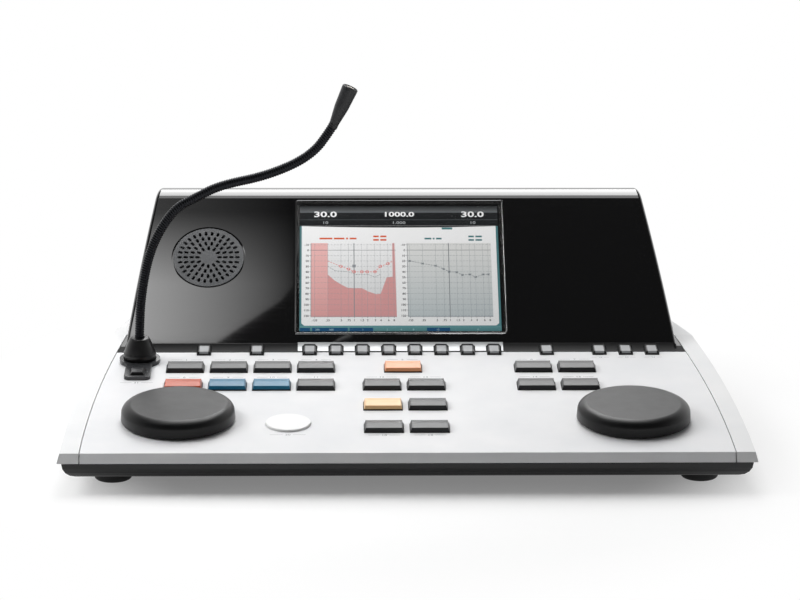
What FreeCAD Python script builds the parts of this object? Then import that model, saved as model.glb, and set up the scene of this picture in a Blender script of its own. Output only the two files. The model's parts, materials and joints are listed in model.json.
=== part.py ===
import FreeCAD, Part
import math
import os
import re
import Sketcher

# A desktop audiometer: a white control plate that slopes up from a folded front lip, a glossy
# hood that leans back behind it with a screen and a round speaker, two dials, 35 push buttons
# and a microphone on a bending neck.
#
# Frame, in millimetres: +X right, +Y to the rear, +Z up. The origin is the centre of the bounding
# box's footprint on the table. "run" is the distance up the sloped control plate from its front
# edge, and "rise" is the height above the plate's surface, square to it. On the hood's panel,
# "run" starts at the line where panel and plate would meet.

V = FreeCAD.Vector
doc = FreeCAD.newDocument("audiometer")
sheet = doc.addObject("Spreadsheet::Sheet", "Sizes")

SIZES = [
    # the body in plan: straight front, sides that are long arcs, straight rear
    ("front_half_width", 181.0, "half width at the plate's front edge"),
    ("side_radius", 1250.0, "radius of the long side arcs"),
    ("depth", 295.0, "front lip to rear face"),
    # white rim
    ("lip_height", 5.2, "height of the rim's outer face"),
    ("lip_flare", 1.5, "how far the lip leans out at its lower edge"),
    ("edge_height", 21.7, "height of the plate's front edge over the table"),
    ("plate_slope", 5.5, "slope of the control plate, degrees"),
    ("rear_slope", 3.0, "fall of the deck behind the crease, degrees"),
    ("crease_run", 180.0, "run of the crease across the deck"),
    ("plate_run", 151.5, "length of the control plate"),
    ("trim_width", 10.4, "width of each side trim"),
    ("seam_gap", 0.5, "gap between plate, trims and hood"),
    ("skin", 2.5, "wall of the rim and plate"),
    # hood
    ("panel_foot_run", 156.4, "run where panel and plate planes meet"),
    ("panel_angle", 42.4, "panel's angle to the table, degrees"),
    ("panel_run", 106.1, "flat length of the panel"),
    ("cove_radius", 13.0, "hollow curve at the panel's foot"),
    ("crown_radius", 15.0, "rolled top of the hood"),
    ("back_angle", 42.0, "fall of the hood's back, degrees"),
    ("heel_radius", 8.0, "round between the hood's back and its rear wall"),
    ("hood_inset", 13.4, "hood's side wall inside the deck's outer edge"),
    ("hood_draft", 1.2, "lean of the hood's side walls, degrees"),
    ("hood_rear_inset", 7.5, "hood's rear wall inside the deck's rear edge"),
    ("hood_wall", 3.0, "wall of the hood"),
    ("hood_edge_radius", 2.2, "round on the hood's side edges"),
    # window and screen
    ("window_width", 119.8, "clear pane's width"),
    ("window_height", 92.0, "clear pane's height"),
    ("window_run", 57.6, "centre of the pane up the panel"),
    ("window_thick", 1.5, "clear pane's thickness"),
    ("window_gap", 0.15, "gap around the pane"),
    ("window_ledge", 1.6, "ledge that carries the pane"),
    ("window_recess", 0.4, "pane set below the panel's surface"),
    ("lcd_width", 132.0, "display module's width"),
    ("lcd_height", 96.0, "display module's height"),
    ("lcd_thick", 7.0, "display module's thickness"),
    ("inner_gap", 0.25, "seat gap of a piece behind a wall"),
    # speaker
    ("grille_inset", 69.8, "grille centre inside the left front corner"),
    ("grille_run", 63.9, "grille centre up the panel"),
    ("grille_radius", 20.4, "grille disc's radius"),
    ("grille_thick", 1.6, "grille disc's thickness"),
    ("grille_groove", 1.0, "groove around the grille disc"),
    ("grille_ledge", 2.0, "ledge behind the grille disc"),
    ("slot_length", 2.8, "grille hole's length, outwards"),
    ("slot_width", 1.6, "grille hole's width"),
    ("speaker_depth", 14.0, "loudspeaker's depth"),
    ("speaker_radius", 20.0, "loudspeaker frame's radius"),
    ("speaker_rim", 1.5, "thickness of the loudspeaker's rim"),
    # rectangular buttons
    ("grid_inset", 59.5, "outer button column inside the front corner"),
    ("grid_places", 5, "columns from the middle to the outer one"),
    ("row_one", 125.2, "run of the first row, nearest the hood"),
    ("row_two", 97.3, "run of the second row"),
    ("row_three", 67.1, "run of the third row"),
    ("row_four", 34.5, "run of the fourth row"),
    ("key_spacing", 3.3, "white plate between two buttons side by side"),
    ("key_depth", 13.0, "button's depth at the plate"),
    ("key_top_inset", 0.8, "how far a button's top is drawn in"),
    ("key_rise", 2.5, "height of a button's upper edges"),
    ("key_crown", 0.6, "extra height of the ridge along a button"),
    ("key_skirt", 2.0, "button's depth below the plate's surface"),
    ("key_gap", 0.25, "gap around each button in its opening"),
    ("key_round", 0.35, "rounded edges of the buttons"),
    ("travel", 1.2, "button travel"),
    ("stem_radius", 2.0, "stem under a button"),
    ("pin_radius", 1.2, "pin at the stem's end"),
    ("pin_entry", 0.5, "how far a pin reaches into its switch at rest"),
    ("pin_play", 0.2, "gap around a pin in its switch"),
    # small buttons
    ("small_inset", 38.975, "outer small button inside the front corner"),
    ("small_places", 9.5, "steps from the middle to the outer small button"),
    ("small_width", 7.8, "small button's width at the plate"),
    ("small_draft", 0.9, "bevel round a small button's top"),
    ("small_bend_radius", 1.8, "hollow bend in a small button's top"),
    ("small_front_run", 146.8, "front of the small buttons"),
    ("small_length", 10.9, "small button's length"),
    ("small_rise", 2.0, "height of a small button's front edge"),
    ("small_cover", 1.5, "small button's height over the cove"),
    ("small_stem_run", 151.9, "run of the small buttons' stems"),
    # round button
    ("tone_offset", 58.7, "round button, right of the left dial"),
    ("tone_run", 41.3, "round button's run"),
    ("tone_radius", 12.0, "round button's radius"),
    ("tone_rise", 1.3, "round button's height"),
    # dials and encoders
    ("dial_inset", 59.3, "dials inside the front corners"),
    ("dial_run", 47.2, "dials' run"),
    ("dial_radius", 30.5, "dial's foot radius"),
    ("dial_top_radius", 25.7, "radius of the dial's flat top"),
    ("dial_rise", 9.6, "top of the dial over the plate"),
    ("dial_gap", 0.8, "gap under the dial"),
    ("dial_shoulder", 3.6, "height of the dial's rounded shoulder"),
    ("dial_flare", 0.9, "how far the dial's side leans in"),
    ("dial_shoulder_round", 8.0, "round at the dial's shoulder"),
    ("dial_edge_round", 1.0, "round at the edge of its flat top"),
    ("hub_recess_radius", 8.5, "recess for the nut under the dial"),
    ("hub_recess_rise", 4.5, "top of that recess over the plate"),
    ("spindle_radius", 3.0, "dial's spindle"),
    ("spindle_play", 0.05, "running gap of the spindle"),
    ("spindle_drop", 8.0, "spindle's reach below the plate's surface"),
    ("bush_radius", 4.5, "encoder's threaded bush"),
    ("bush_rise", 3.5, "bush above the plate"),
    ("nut_width", 12.0, "encoder nut across flats"),
    ("nut_thick", 2.0, "encoder nut's thickness"),
    ("encoder_width", 14.0, "encoder body"),
    # switches and boards
    ("switch_width", 6.0, "switch body"),
    ("switch_top", 6.5, "switch top below the plate's surface"),
    ("board_top", 10.5, "key board below the plate's surface"),
    ("board_thick", 1.6, "circuit boards' thickness"),
    ("board_inset", 23.0, "key board's ends inside the front corners"),
    ("board_front_run", 24.0, "key board's front edge"),
    ("board_back_run", 158.0, "key board's rear edge"),
    ("post_radius", 3.0, "posts that carry the key board"),
    # microphone
    ("mic_inset", 33.5, "microphone socket inside the left front corner"),
    ("mic_run", 137.3, "socket's run"),
    ("socket_width", 14.6, "socket platform's width"),
    ("socket_front_run", 107.2, "platform's front"),
    ("socket_rise", 2.0, "platform's height"),
    ("socket_corner", 3.0, "platform's corner radius"),
    ("collar_radius", 11.4, "collar ring around the boot"),
    ("collar_rise", 2.2, "collar's height"),
    ("collar_dish", 0.5, "recess in the collar for the boot"),
    ("socket_stub_radius", 5.0, "socket's stub through the plate"),
    ("boot_radius", 9.1, "boot's foot radius"),
    ("boot_band", 4.2, "height of the boot's straight band"),
    ("boot_top_radius", 4.6, "boot's top radius"),
    ("boot_rise", 14.6, "boot's top over the plate"),
    ("talk_run", 114.8, "talk button's run"),
    ("talk_width", 7.8, "talk button's width"),
    ("talk_length", 9.4, "talk button's length"),
    ("talk_rise", 3.8, "talk button's top over the plate"),
    ("talk_inset", 1.1, "how far the talk button's top is drawn in"),
    ("neck_radius", 2.65, "gooseneck's radius"),
    ("ball_radius", 1.9, "ball inside each bend"),
    ("ball_play", 0.15, "gap between a ball and its socket"),
    ("ball_stalk", 1.1, "stalk that carries a ball"),
    ("bend_below", 1.7, "lower end's set-back from a bend's centre"),
    ("bend_above", 0.4, "upper end's set-back from a bend's centre"),
    ("head_length", 25.0, "microphone head's length"),
    ("head_radius", 4.5, "microphone head's end radius"),
    # bottom case and feet
    ("case_inset", 0.9, "case wall inside the rim's lower edge"),
    ("case_bottom", 7.0, "case's underside over the table"),
    ("case_sweep", 9.5, "how far the case's side draws in below the rim"),
    ("case_wall", 2.5, "case's wall and floor"),
    ("foot_radius", 10.0, "rubber foot's radius"),
    ("foot_inset", 25.7, "front feet inside the front corners"),
    ("foot_front", 28.5, "front feet behind the lip"),
    ("foot_rear", 30.0, "rear feet ahead of the rear face"),
    ("rear_foot_inset", 63.0, "rear feet inside the front corners"),
    ("foot_round", 2.0, "rounded lower edge of a foot"),
    # screws
    ("screw_radius", 1.5, "case screw"),
    ("screw_head_radius", 2.75, "case screw's head"),
    ("screw_head_height", 2.0, "height of that head"),
    ("screw_play", 0.1, "gap around a screw"),
    ("screw_bite", 4.5, "screw's reach into its boss"),
    ("boss_radius", 3.5, "screw posts and bosses"),
    ("boss_height", 5.5, "boss under the deck"),
    ("post_web", 5.5, "post left between screw head and boss"),
    ("screw_inset", 49.0, "outer screws inside the front corners"),
    ("front_screw_run", 19.5, "front screws' run"),
    ("rear_screw_inset", 14.8, "rear screws ahead of the rear face"),
    ("rear_boss_lap", 6.0, "height over which a rear boss meets the hood's wall"),
    # rear panel
    ("rear_panel_inset", 63.0, "rear connector panel's ends inside the front corners"),
    ("rear_panel_height", 30.0, "rear connector panel's height"),
    ("rear_panel_thick", 2.0, "rear connector panel's thickness"),
    ("rear_panel_z", 55.0, "rear panel's centre over the table"),
    ("rear_opening_lap", 3.0, "hood wall that overlaps the rear panel"),
    ("jack_pitch", 21.0, "spacing of the headphone jacks"),
    ("jack_margin", 20.0, "first jack inside the panel's left end"),
    ("jack_clear", 30.0, "room kept between the last jack and the power switch"),
    ("jack_bore", 3.25, "jack's bore radius"),
    ("jack_radius", 5.5, "jack's threaded sleeve"),
    ("jack_nut_radius", 7.5, "jack's ring nut"),
    ("jack_nut_thick", 1.4, "ring nut's thickness"),
    ("jack_depth", 26.0, "jack's length behind the panel"),
    ("jack_body_width", 15.0, "jack's square body"),
    ("inlet_margin", 30.0, "power inlet inside the panel's right end"),
    ("inlet_width", 28.0, "power inlet's body"),
    ("inlet_height", 20.6, "power inlet's body height"),
    ("inlet_depth", 19.0, "power inlet's body depth"),
    ("inlet_wall", 2.0, "wall around the inlet's recess"),
    ("inlet_bezel_thick", 1.2, "rim of the power inlet"),
    ("inlet_pin_length", 9.5, "length of the inlet's pins"),
    ("inlet_pin_thick", 2.0, "thickness of a pin, which is twice as deep"),
    ("inlet_pin_pitch", 7.0, "spacing of the pins, the middle one lower"),
    ("rocker_margin", 64.0, "power switch inside the panel's right end"),
    ("rocker_width", 13.0, "power switch rocker's width"),
    ("rocker_height", 18.0, "power switch rocker's height"),
    ("rocker_tilt", 7.0, "rocker's tilt either way, degrees"),
    ("rocker_depth", 6.0, "rocker's pivot behind the panel's face"),
    ("rocker_play", 0.3, "gap around the rocker"),
    ("rocker_end_gap", 0.8, "rocker's ends short of its well"),
    ("rocker_frame_wall", 1.8, "wall around the rocker"),
    ("rocker_bezel", 1.0, "rocker frame in front of the panel"),
    ("axle_radius", 1.5, "rocker's axle"),
    ("axle_play", 0.06, "running gap of that axle"),
    ("main_board_width", 190.0, "main circuit board's width"),
    ("main_board_depth", 88.0, "main circuit board's depth"),
    ("main_board_rear", 26.0, "main board ahead of the rear face"),
    ("main_board_z", 15.0, "main board over the table"),
]
# what follows from these sizes
PLACES = [
    ("grille_x", "=grille_inset - front_half_width", "grille centre"),
    ("grid_pitch", "=(front_half_width - grid_inset) / grid_places", "spacing of the button columns"),
    ("key_width", "=grid_pitch - key_spacing", "button's width at the plate"),
    ("small_pitch", "=(front_half_width - small_inset) / small_places", "spacing of the small buttons"),
    ("dial_x", "=front_half_width - dial_inset", "dials either side of the middle"),
    ("tone_x", "=tone_offset - dial_x", "round button"),
    ("board_half_width", "=front_half_width - board_inset", "key board's half width"),
    ("mic_x", "=mic_inset - front_half_width", "microphone socket"),
    ("foot_x", "=front_half_width - foot_inset", "front feet either side of the middle"),
    ("rear_foot_x", "=front_half_width - rear_foot_inset", "rear feet either side of the middle"),
    ("screw_x", "=front_half_width - screw_inset", "outer screws either side of the middle"),
    ("rear_panel_width", "=(front_half_width - rear_panel_inset) * 2", "rear connector panel's width"),
    ("inlet_x", "=rear_panel_width / 2 - inlet_margin", "power inlet"),
    ("rocker_x", "=rear_panel_width / 2 - rocker_margin", "power switch"),
    ("jack_first_x", "=jack_margin - rear_panel_width / 2", "first jack"),
    ("jack_count", "=floor((rocker_x - jack_clear - jack_first_x) / jack_pitch) + 1", "jacks in the row"),
]
for row, (alias, value, meaning) in enumerate(SIZES + PLACES, 1):
    sheet.set(f"A{row}", alias)
    sheet.set(f"B{row}", str(value))
    sheet.set(f"C{row}", meaning)
    sheet.setAlias(f"B{row}", alias)
ALIASES = {entry[0] for entry in SIZES + PLACES}
doc.recompute()


def cell(text):
    """The text as an expression, with each size's name looked up in the sheet."""
    def named(match):
        word = match.group(0)
        return f"Sizes.{word}" if word in ALIASES else word
    return re.sub(r"[a-z_]+", named, str(text))


def number(text):
    """The value of an expression; its angles are in degrees."""
    return float(sheet.evalExpression(cell(text)))


# ---- helpers: expressions, primitives and booleans ----

def bind(thing, **properties):
    """Bind properties to expressions; Base_x stands for Placement.Base.x."""
    for name, text in properties.items():
        path = name.replace("Base_", "Placement.Base.")
        thing.setExpression(path, cell(text))
    return thing


def block(name, wide, deep, tall, x="0", y="0", z="0"):
    """A box, centred on x and y, standing on z."""
    box = doc.addObject("Part::Box", name)
    bind(box, Length=wide, Width=deep, Height=tall)
    return bind(box, Base_x=f"({x}) - ({wide}) / 2", Base_y=f"({y}) - ({deep}) / 2", Base_z=z)


def post(name, radius, tall, x="0", y="0", z="0"):
    """An upright cylinder standing on z."""
    cylinder = doc.addObject("Part::Cylinder", name)
    bind(cylinder, Radius=radius, Height=tall)
    return bind(cylinder, Base_x=x, Base_y=y, Base_z=z)


def ball(name, radius, x="0", y="0", z="0"):
    sphere = doc.addObject("Part::Sphere", name)
    return bind(sphere, Radius=radius, Base_x=x, Base_y=y, Base_z=z)


def cross_pin(name, radius, length, y="0", z="0"):
    """A cylinder along X, centred on x = 0."""
    cylinder = doc.addObject("Part::Cylinder", name)
    cylinder.Placement.Rotation = FreeCAD.Rotation(V(0, 1, 0), 90)
    bind(cylinder, Radius=radius, Height=length)
    return bind(cylinder, Base_x=f"-({length}) / 2", Base_y=y, Base_z=z)


def drafted(name, wide, deep, tall, inset, x, y, z, ridge=False):
    """A block whose top is drawn in by inset all round; with ridge, to a line along X."""
    wedge = doc.addObject("Part::Wedge", name)
    wedge.Placement.Rotation = FreeCAD.Rotation(V(1, 0, 0), 90)
    bind(wedge, Xmin="0", Ymin="0", Zmin="0", Xmax=wide, Ymax=tall, Zmax=deep)
    bind(wedge, X2min=inset, X2max=f"({wide}) - ({inset})")
    if ridge:
        bind(wedge, Z2min=f"({deep}) / 2", Z2max=f"({deep}) / 2")
    else:
        bind(wedge, Z2min=inset, Z2max=f"({deep}) - ({inset})")
    return bind(wedge, Base_x=f"({x}) - ({wide}) / 2", Base_y=f"({y}) + ({deep}) / 2", Base_z=z)


def outline(name, points, turn):
    """A closed sketch whose corners are bound to expressions; turn sets its plane."""
    sketch = doc.addObject("Sketcher::SketchObject", name)
    sketch.Placement.Rotation = turn
    corners = [V(number(across), number(up), 0) for across, up in points]
    count = len(corners)
    for index in range(count):
        sketch.addGeometry(Part.LineSegment(corners[index], corners[(index + 1) % count]), False)
    for index in range(count):
        following = (index + 1) % count
        sketch.addConstraint(Sketcher.Constraint("Coincident", index, 2, following, 1))
    for index, (corner, (across, up)) in enumerate(zip(corners, points)):
        for kind, start, text in (("DistanceX", corner.x, across), ("DistanceY", corner.y, up)):
            datum = sketch.addConstraint(Sketcher.Constraint(kind, -1, 1, index, 1, start))
            sketch.setExpression(f"Constraints[{datum}]", cell(text))
    return sketch


SIDE_VIEW = FreeCAD.Rotation(V(1, 1, 1), 120)     # sketch x to Y, sketch y to Z
FRONT_VIEW = FreeCAD.Rotation(V(1, 0, 0), 90)     # sketch x to X, sketch y to Z


def prism(name, points, wide, x="0"):
    """A side-view outline made wide along X, centred on x."""
    extrusion = doc.addObject("Part::Extrusion", name)
    extrusion.Base = outline(name + "_outline", points, SIDE_VIEW)
    extrusion.DirMode = "Normal"
    extrusion.Solid = True
    extrusion.Symmetric = True
    return bind(extrusion, LengthFwd=wide, Base_x=x)


def turned(name, points, x="0", y="0"):
    """A solid of revolution about the upright axis; points are (radius, z)."""
    revolution = doc.addObject("Part::Revolution", name)
    revolution.Source = outline(name + "_outline", points, FRONT_VIEW)
    revolution.Axis = (0, 0, 1)
    revolution.Base = (0, 0, 0)
    revolution.Angle = 360
    revolution.Solid = True
    return bind(revolution, Base_x=x, Base_y=y)


def fuse(name, parts):
    union = doc.addObject("Part::MultiFuse", name)
    union.Shapes = parts
    union.Refine = True
    return union


def common(name, parts):
    overlap = doc.addObject("Part::MultiCommon", name)
    overlap.Shapes = parts
    return overlap


def cut(name, base, tools):
    """Take away the tools from the base."""
    remainder = doc.addObject("Part::Cut", name)
    remainder.Base = base
    remainder.Tool = tools[0] if len(tools) == 1 else group(name + "_tools", tools)
    return remainder


def group(name, parts):
    """Separate solids kept together as one object."""
    compound = doc.addObject("Part::Compound", name)
    compound.Links = parts
    return compound


def rounded(name, base, choices, kind="Part::Fillet"):
    """Fillet or bevel the edges of base that each (size, test) chooses."""
    doc.recompute()
    softened = doc.addObject(kind, name)
    softened.Base = base
    picked = []
    for index, edge in enumerate(base.Shape.Edges, 1):
        for radius, test in choices:
            if test(edge):
                picked.append((index, radius, radius))
                break
    softened.Edges = picked
    return softened


def runs_across_at(y, z):
    """A test for an edge along X at one point of the side view."""
    def test(edge):
        return all(abs(v.Y - y) < 0.01 and abs(v.Z - z) < 0.01 for v in edge.Vertexes)
    return test


# ---- the two tilted frames: the control plate and the hood's panel ----

FRONT_Y = "(lip_flare - depth / 2)"
REAR_Y = "(depth / 2)"
PANEL_Y = f"({FRONT_Y} + panel_foot_run * cos(plate_slope))"
PANEL_Z = "(edge_height + panel_foot_run * sin(plate_slope))"


def on_plate(run, rise="0"):
    """World Y and Z of a point given on the control plate."""
    y = f"{FRONT_Y} + ({run}) * cos(plate_slope) - ({rise}) * sin(plate_slope)"
    z = f"edge_height + ({run}) * sin(plate_slope) + ({rise}) * cos(plate_slope)"
    return y, z


def on_panel(run, rise="0"):
    """World Y and Z of a point given on the hood's panel."""
    y = f"{PANEL_Y} + ({run}) * cos(panel_angle) - ({rise}) * sin(panel_angle)"
    z = f"{PANEL_Z} + ({run}) * sin(panel_angle) + ({rise}) * cos(panel_angle)"
    return y, z


def tilt(thing, angle, x="0", y="0", z="0"):
    """Tilt a piece about X and move it."""
    thing.Placement.Rotation = FreeCAD.Rotation(V(1, 0, 0), number(angle))
    thing.setExpression("Placement.Rotation.Angle", cell(angle))
    return bind(thing, Base_x=x, Base_y=y, Base_z=z)


def to_plate(thing):
    return tilt(thing, "plate_slope", y=FRONT_Y, z="edge_height")


def to_panel(thing):
    return tilt(thing, "panel_angle", y=PANEL_Y, z=PANEL_Z)


def lens(name, rings):
    """What lies inside both long side arcs; rings are (inset from the arc, z), from the bottom."""
    halves = []
    for side, sign in (("right", ""), ("left", "-")):
        points = [("0", rings[0][1])]
        points += [(f"side_radius - ({inset})", z) for inset, z in rings]
        points.append(("0", rings[-1][1]))
        centre = f"{sign}(front_half_width - side_radius)"
        halves.append(turned(f"{name}_{side}", points, centre, FRONT_Y))
    return common(name, halves)


# ---- white deck: rim, control plate and side trims ----

CREASE = on_plate("crease_run")
WIDE = "front_half_width * 2 + 40"


def deck_z(y, drop="0"):
    """Height of the deck behind its crease."""
    return f"{CREASE[1]} - (({y}) - ({CREASE[0]})) * tan(rear_slope) - ({drop})"


def deck_shell():
    outer = common("deck_outer", [
        prism("deck_band", [
            on_plate("0"), CREASE, (REAR_Y, deck_z(REAR_Y)), (REAR_Y, deck_z(REAR_Y, "lip_height")),
            (CREASE[0], f"{CREASE[1]} - lip_height"),
            (f"{FRONT_Y} - lip_flare", "edge_height - lip_height")], WIDE),
        lens("deck_plan", [("-lip_flare", "edge_height - lip_height - 1"),
                           ("-lip_flare", "edge_height - lip_height"),
                           ("0", "edge_height"), ("0", "edge_height * 4")])])
    rear_inner = f"{REAR_Y} - skin"
    front_inner = on_plate("skin", "-skin")
    inner = common("deck_inner", [
        prism("deck_hollow", [
            front_inner, on_plate("crease_run", "-skin"), (rear_inner, deck_z(rear_inner, "skin")),
            (rear_inner, "0"), (front_inner[0], "0")], WIDE),
        lens("deck_inner_plan", [("skin", "-5"), ("skin", "edge_height * 4")])])
    return cut("deck_shell", outer, [inner])


def ahead_of_seam(name, end_run):
    """A block over the plate from ahead of the lip to a run."""
    ahead = block(f"{name}_block", WIDE, f"({end_run}) + 40", "edge_height * 4",
                  y=f"(({end_run}) - 40) / 2", z="-edge_height * 2")
    return to_plate(group(name, [ahead]))


def key_row(row, run, places):
    """The buttons of one row; places count in steps of the grid from the middle."""
    return [(f"{row}_{count}", f"({place}) * grid_pitch", run)
            for count, place in enumerate(places, 1)]


RECTANGULAR = (key_row("row_one_key", "row_one", (-5, -4, -3, -2, 0, 3, 4))
               + key_row("row_two_key", "row_two", (-5, -4, -3, -2, -0.5, 0.5, 3, 4))
               + key_row("row_three_key", "row_three", (-0.5, 0.5))
               + key_row("row_four_key", "row_four", (-0.5, 0.5)))
SMALL_PLACES = (-7.5, -5.5, -3.5, -2.5, -1.5, -0.5, 0.5, 1.5, 2.5, 3.5, 5.5, 7.5, 8.5, 9.5)
SMALL = [(f"small_key_{count}", f"({place}) * small_pitch")
         for count, place in enumerate(SMALL_PLACES, 1)]
STEMS = ([(x, run) for name, x, run in RECTANGULAR]
         + [(x, "small_stem_run") for name, x in SMALL]
         + [("tone_x", "tone_run"), ("mic_x", "talk_run")])
DIALS = (("left_dial", "-dial_x"), ("right_dial", "dial_x"))
BOARD_POSTS = [(x, run) for x in ("-2.5 * grid_pitch", "2 * grid_pitch", "5.2 * grid_pitch")
               for run in ("board_front_run + 5", "(row_one + row_two) / 2 + 4")]
SCREWS = [(x, place) for place in ("front", "rear") for x in ("-screw_x", "0", "screw_x")]


def plate_openings():
    """Everything that passes through the plate, each with its gap."""
    deep = "skin * 4"
    low = "-skin * 2"
    tools = [block(f"opening_{key}", "key_width + key_gap * 2", "key_depth + key_gap * 2", deep, x, run,
                   low) for key, x, run in RECTANGULAR]
    tools.append(post("opening_tone", "tone_radius + key_gap", deep, "tone_x", "tone_run", low))
    tools.append(talk_opening("opening_talk"))
    tools += [post(f"opening_{knob}", "bush_radius + key_gap", deep, x, "dial_run", low)
              for knob, x in DIALS]
    tools.append(post("opening_mic", "socket_stub_radius + key_gap", deep, "mic_x", "mic_run", low))
    return to_plate(group("plate_openings", tools + small_notches("opening")))


def talk_opening(name):
    return block(name, "talk_width + key_gap * 2", "talk_length + key_gap * 2", "skin * 4",
                 "mic_x", "talk_run", "-skin * 2")


def small_notches(name):
    """The slots of the small buttons, through the plate's rear edge and the hood's cove."""
    return [block(f"{name}_{key}", "small_width + key_gap * 2", "small_length + key_gap * 2",
                  "board_top + 10", x, "small_front_run + small_length / 2", "1 - board_top")
            for key, x in SMALL]


def screw_y(place):
    if place == "front":
        return on_plate("front_screw_run")[0]
    return f"{REAR_Y} - rear_screw_inset"


def boss_bottom(place):
    """Height of the lower end of a screw boss under the deck."""
    if place == "front":
        return f"{on_plate('front_screw_run', '-skin')[1]} - boss_height"
    return f"{deck_z(screw_y('rear'), 'skin')} - boss_height"


def screw_bosses(place):
    """Bosses under the deck, and the pilot holes up into them.

    The rear ones stand off the hood's wall, and ribs that end below the rear panel join them to it."""
    deck_top = f"{boss_bottom(place)} + boss_height + skin"
    lap = f"min(rear_boss_lap, rear_panel_z - rear_panel_height / 2 - inner_gap - ({deck_top}))"
    reach = "boss_height + skin / 2" if place == "front" else f"boss_height + skin + {lap}"
    bosses = [post(f"{place}_boss_{n}", "boss_radius", reach, x, screw_y(place),
                   boss_bottom(place)) for n, (x, at) in enumerate(SCREWS) if at == place]
    if place == "rear":
        gap = "(rear_screw_inset - hood_rear_inset - hood_wall / 2)"
        bosses += [block(f"rear_rib_{n}", "boss_radius", gap, lap, x,
                         f"{screw_y(place)} + {gap} / 2", deck_top)
                   for n, (x, at) in enumerate(SCREWS) if at == place]
    pilots = [post(f"{place}_pilot_{n}", "screw_radius + screw_play", "screw_bite + 0.5", x,
                   screw_y(place), boss_bottom(place)) for n, (x, at) in enumerate(SCREWS) if at == place]
    return bosses, pilots


def control_plate(deck):
    body = common("plate_body", [deck, lens("plate_plan", [("trim_width", "-5"),
                                                           ("trim_width", "edge_height * 4")]),
                                 ahead_of_seam("plate_zone", "plate_run")])
    posts = to_plate(group("board_posts", [
        post(f"board_post_{n}", "post_radius", "board_top - skin / 2", x, run, "-board_top")
        for n, (x, run) in enumerate(BOARD_POSTS)]))
    bosses, pilots = screw_bosses("front")
    return cut("control_plate", fuse("plate_full", [body, posts] + bosses), [plate_openings()] + pilots)


def side_trims(deck):
    inset = "trim_width - seam_gap"
    return cut("side_trims", deck, [lens("trim_plan", [(inset, "-5"), (inset, "edge_height * 4")])])


# ---- hood ----

CROWN_TURN = "((panel_angle + back_angle) / 2)"
HEEL_TURN = "(45 - back_angle / 2)"
HOOD_REAR_Y = f"({REAR_Y} - hood_rear_inset)"
RISE_ANGLE = "(panel_angle - plate_slope)"


def hood_profile(wall):
    """Apex, rear shoulder and length of the back in the hood's side view, drawn in by a wall."""
    apex = on_panel(f"panel_run + (crown_radius - ({wall})) * tan{CROWN_TURN}", f"-({wall})")
    rear = f"{HOOD_REAR_Y} - ({wall})"
    reach = f"(({rear}) - ({apex[0]}))"
    shoulder = (rear, f"{apex[1]} - {reach} * tan(back_angle)")
    return apex, shoulder, f"{reach} / cos(back_angle)"


def fitting(radius, half_turn, room):
    """The radius of a round, or less where its tangents would leave no flat in the room."""
    return min(number(radius), number(f"({room}) * 0.9 / tan{half_turn}"))


def hood_plan(name, wall):
    """Drafted side walls; their inset is measured at the panel's foot."""
    def ring(z):
        return f"hood_inset + ({wall}) + (({z}) - {PANEL_Z}) * tan(hood_draft)", z
    return lens(name, [ring("0"), ring("edge_height * 8")])


def hood_outside():
    """Panel, rolled crown, back and rear wall, with the side edges rounded, and the cove."""
    apex, shoulder, back = hood_profile("0")
    foot = on_panel(f"-skin / sin{RISE_ANGLE}")
    points = [foot, apex, shoulder, (HOOD_REAR_Y, deck_z(HOOD_REAR_Y, "skin")),
              on_plate("crease_run", "-skin")]
    at = [(number(y), number(z)) for y, z in points]
    crown = fitting("crown_radius", CROWN_TURN, back)
    heel = fitting("heel_radius", HEEL_TURN, f"{back} - {crown} * tan{CROWN_TURN}")
    bent = rounded("hood_bent", prism("hood_sides", points, WIDE), [
        (crown, runs_across_at(*at[1])), (heel, runs_across_at(*at[2]))])
    whole = common("hood_whole", [bent, hood_plan("hood_plan", "0")])
    flat = number("panel_run")

    def panel_side(edge):
        return abs(edge.Length / flat - 1) < 0.1 and edge.BoundBox.XLength < edge.Length / 3
    soft = rounded("hood_rounded", whole, [(number("hood_edge_radius"), panel_side)])
    return [soft, hood_cove()]


def hood_cove():
    """The hollow curve between deck and panel."""
    tangent = f"cove_radius * tan({RISE_ANGLE} / 2)"
    lower, upper = f"panel_foot_run - {tangent}", tangent
    wedge = prism("cove_wedge", [
        on_plate(lower), on_panel(upper), on_panel(upper, "-hood_wall / 2"),
        on_plate("panel_foot_run", "-skin / 2"), on_plate(lower, "-skin / 2")], WIDE)
    y, z = on_plate(lower, "cove_radius")
    hollow = cross_pin("cove_hollow", "cove_radius", f"{WIDE} * 2", y, z)
    ends = hood_plan("cove_plan", "hood_edge_radius")
    return common("hood_cove", [cut("cove_cut", wedge, [hollow]), ends])


def hood_inside():
    apex, shoulder, back = hood_profile("hood_wall")
    start = on_panel("-hood_wall * 4", "-hood_wall")
    floor = "edge_height / 2"
    points = [start, apex, shoulder, (shoulder[0], floor), (start[0], floor)]
    crown = fitting("crown_radius - hood_wall", CROWN_TURN, back)
    bent = rounded("hood_void_bent", prism("hood_void_sides", points, WIDE), [
        (crown, runs_across_at(number(apex[0]), number(apex[1])))])
    return common("hood_void", [bent, hood_plan("hood_void_plan", "hood_wall")])


def window_tools():
    """Recess for the clear pane, and the smaller opening behind it."""
    sink = "window_thick + window_recess"
    recess = block("window_recess_cut", "window_width + window_gap * 2", "window_height + window_gap * 2",
                   f"{sink} + hood_wall", y="window_run", z=f"-({sink})")
    view = block("window_view", "window_width - window_ledge * 2", "window_height - window_ledge * 2",
                 "hood_wall * 4", y="window_run", z="-hood_wall * 2")
    return [recess, view]


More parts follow.
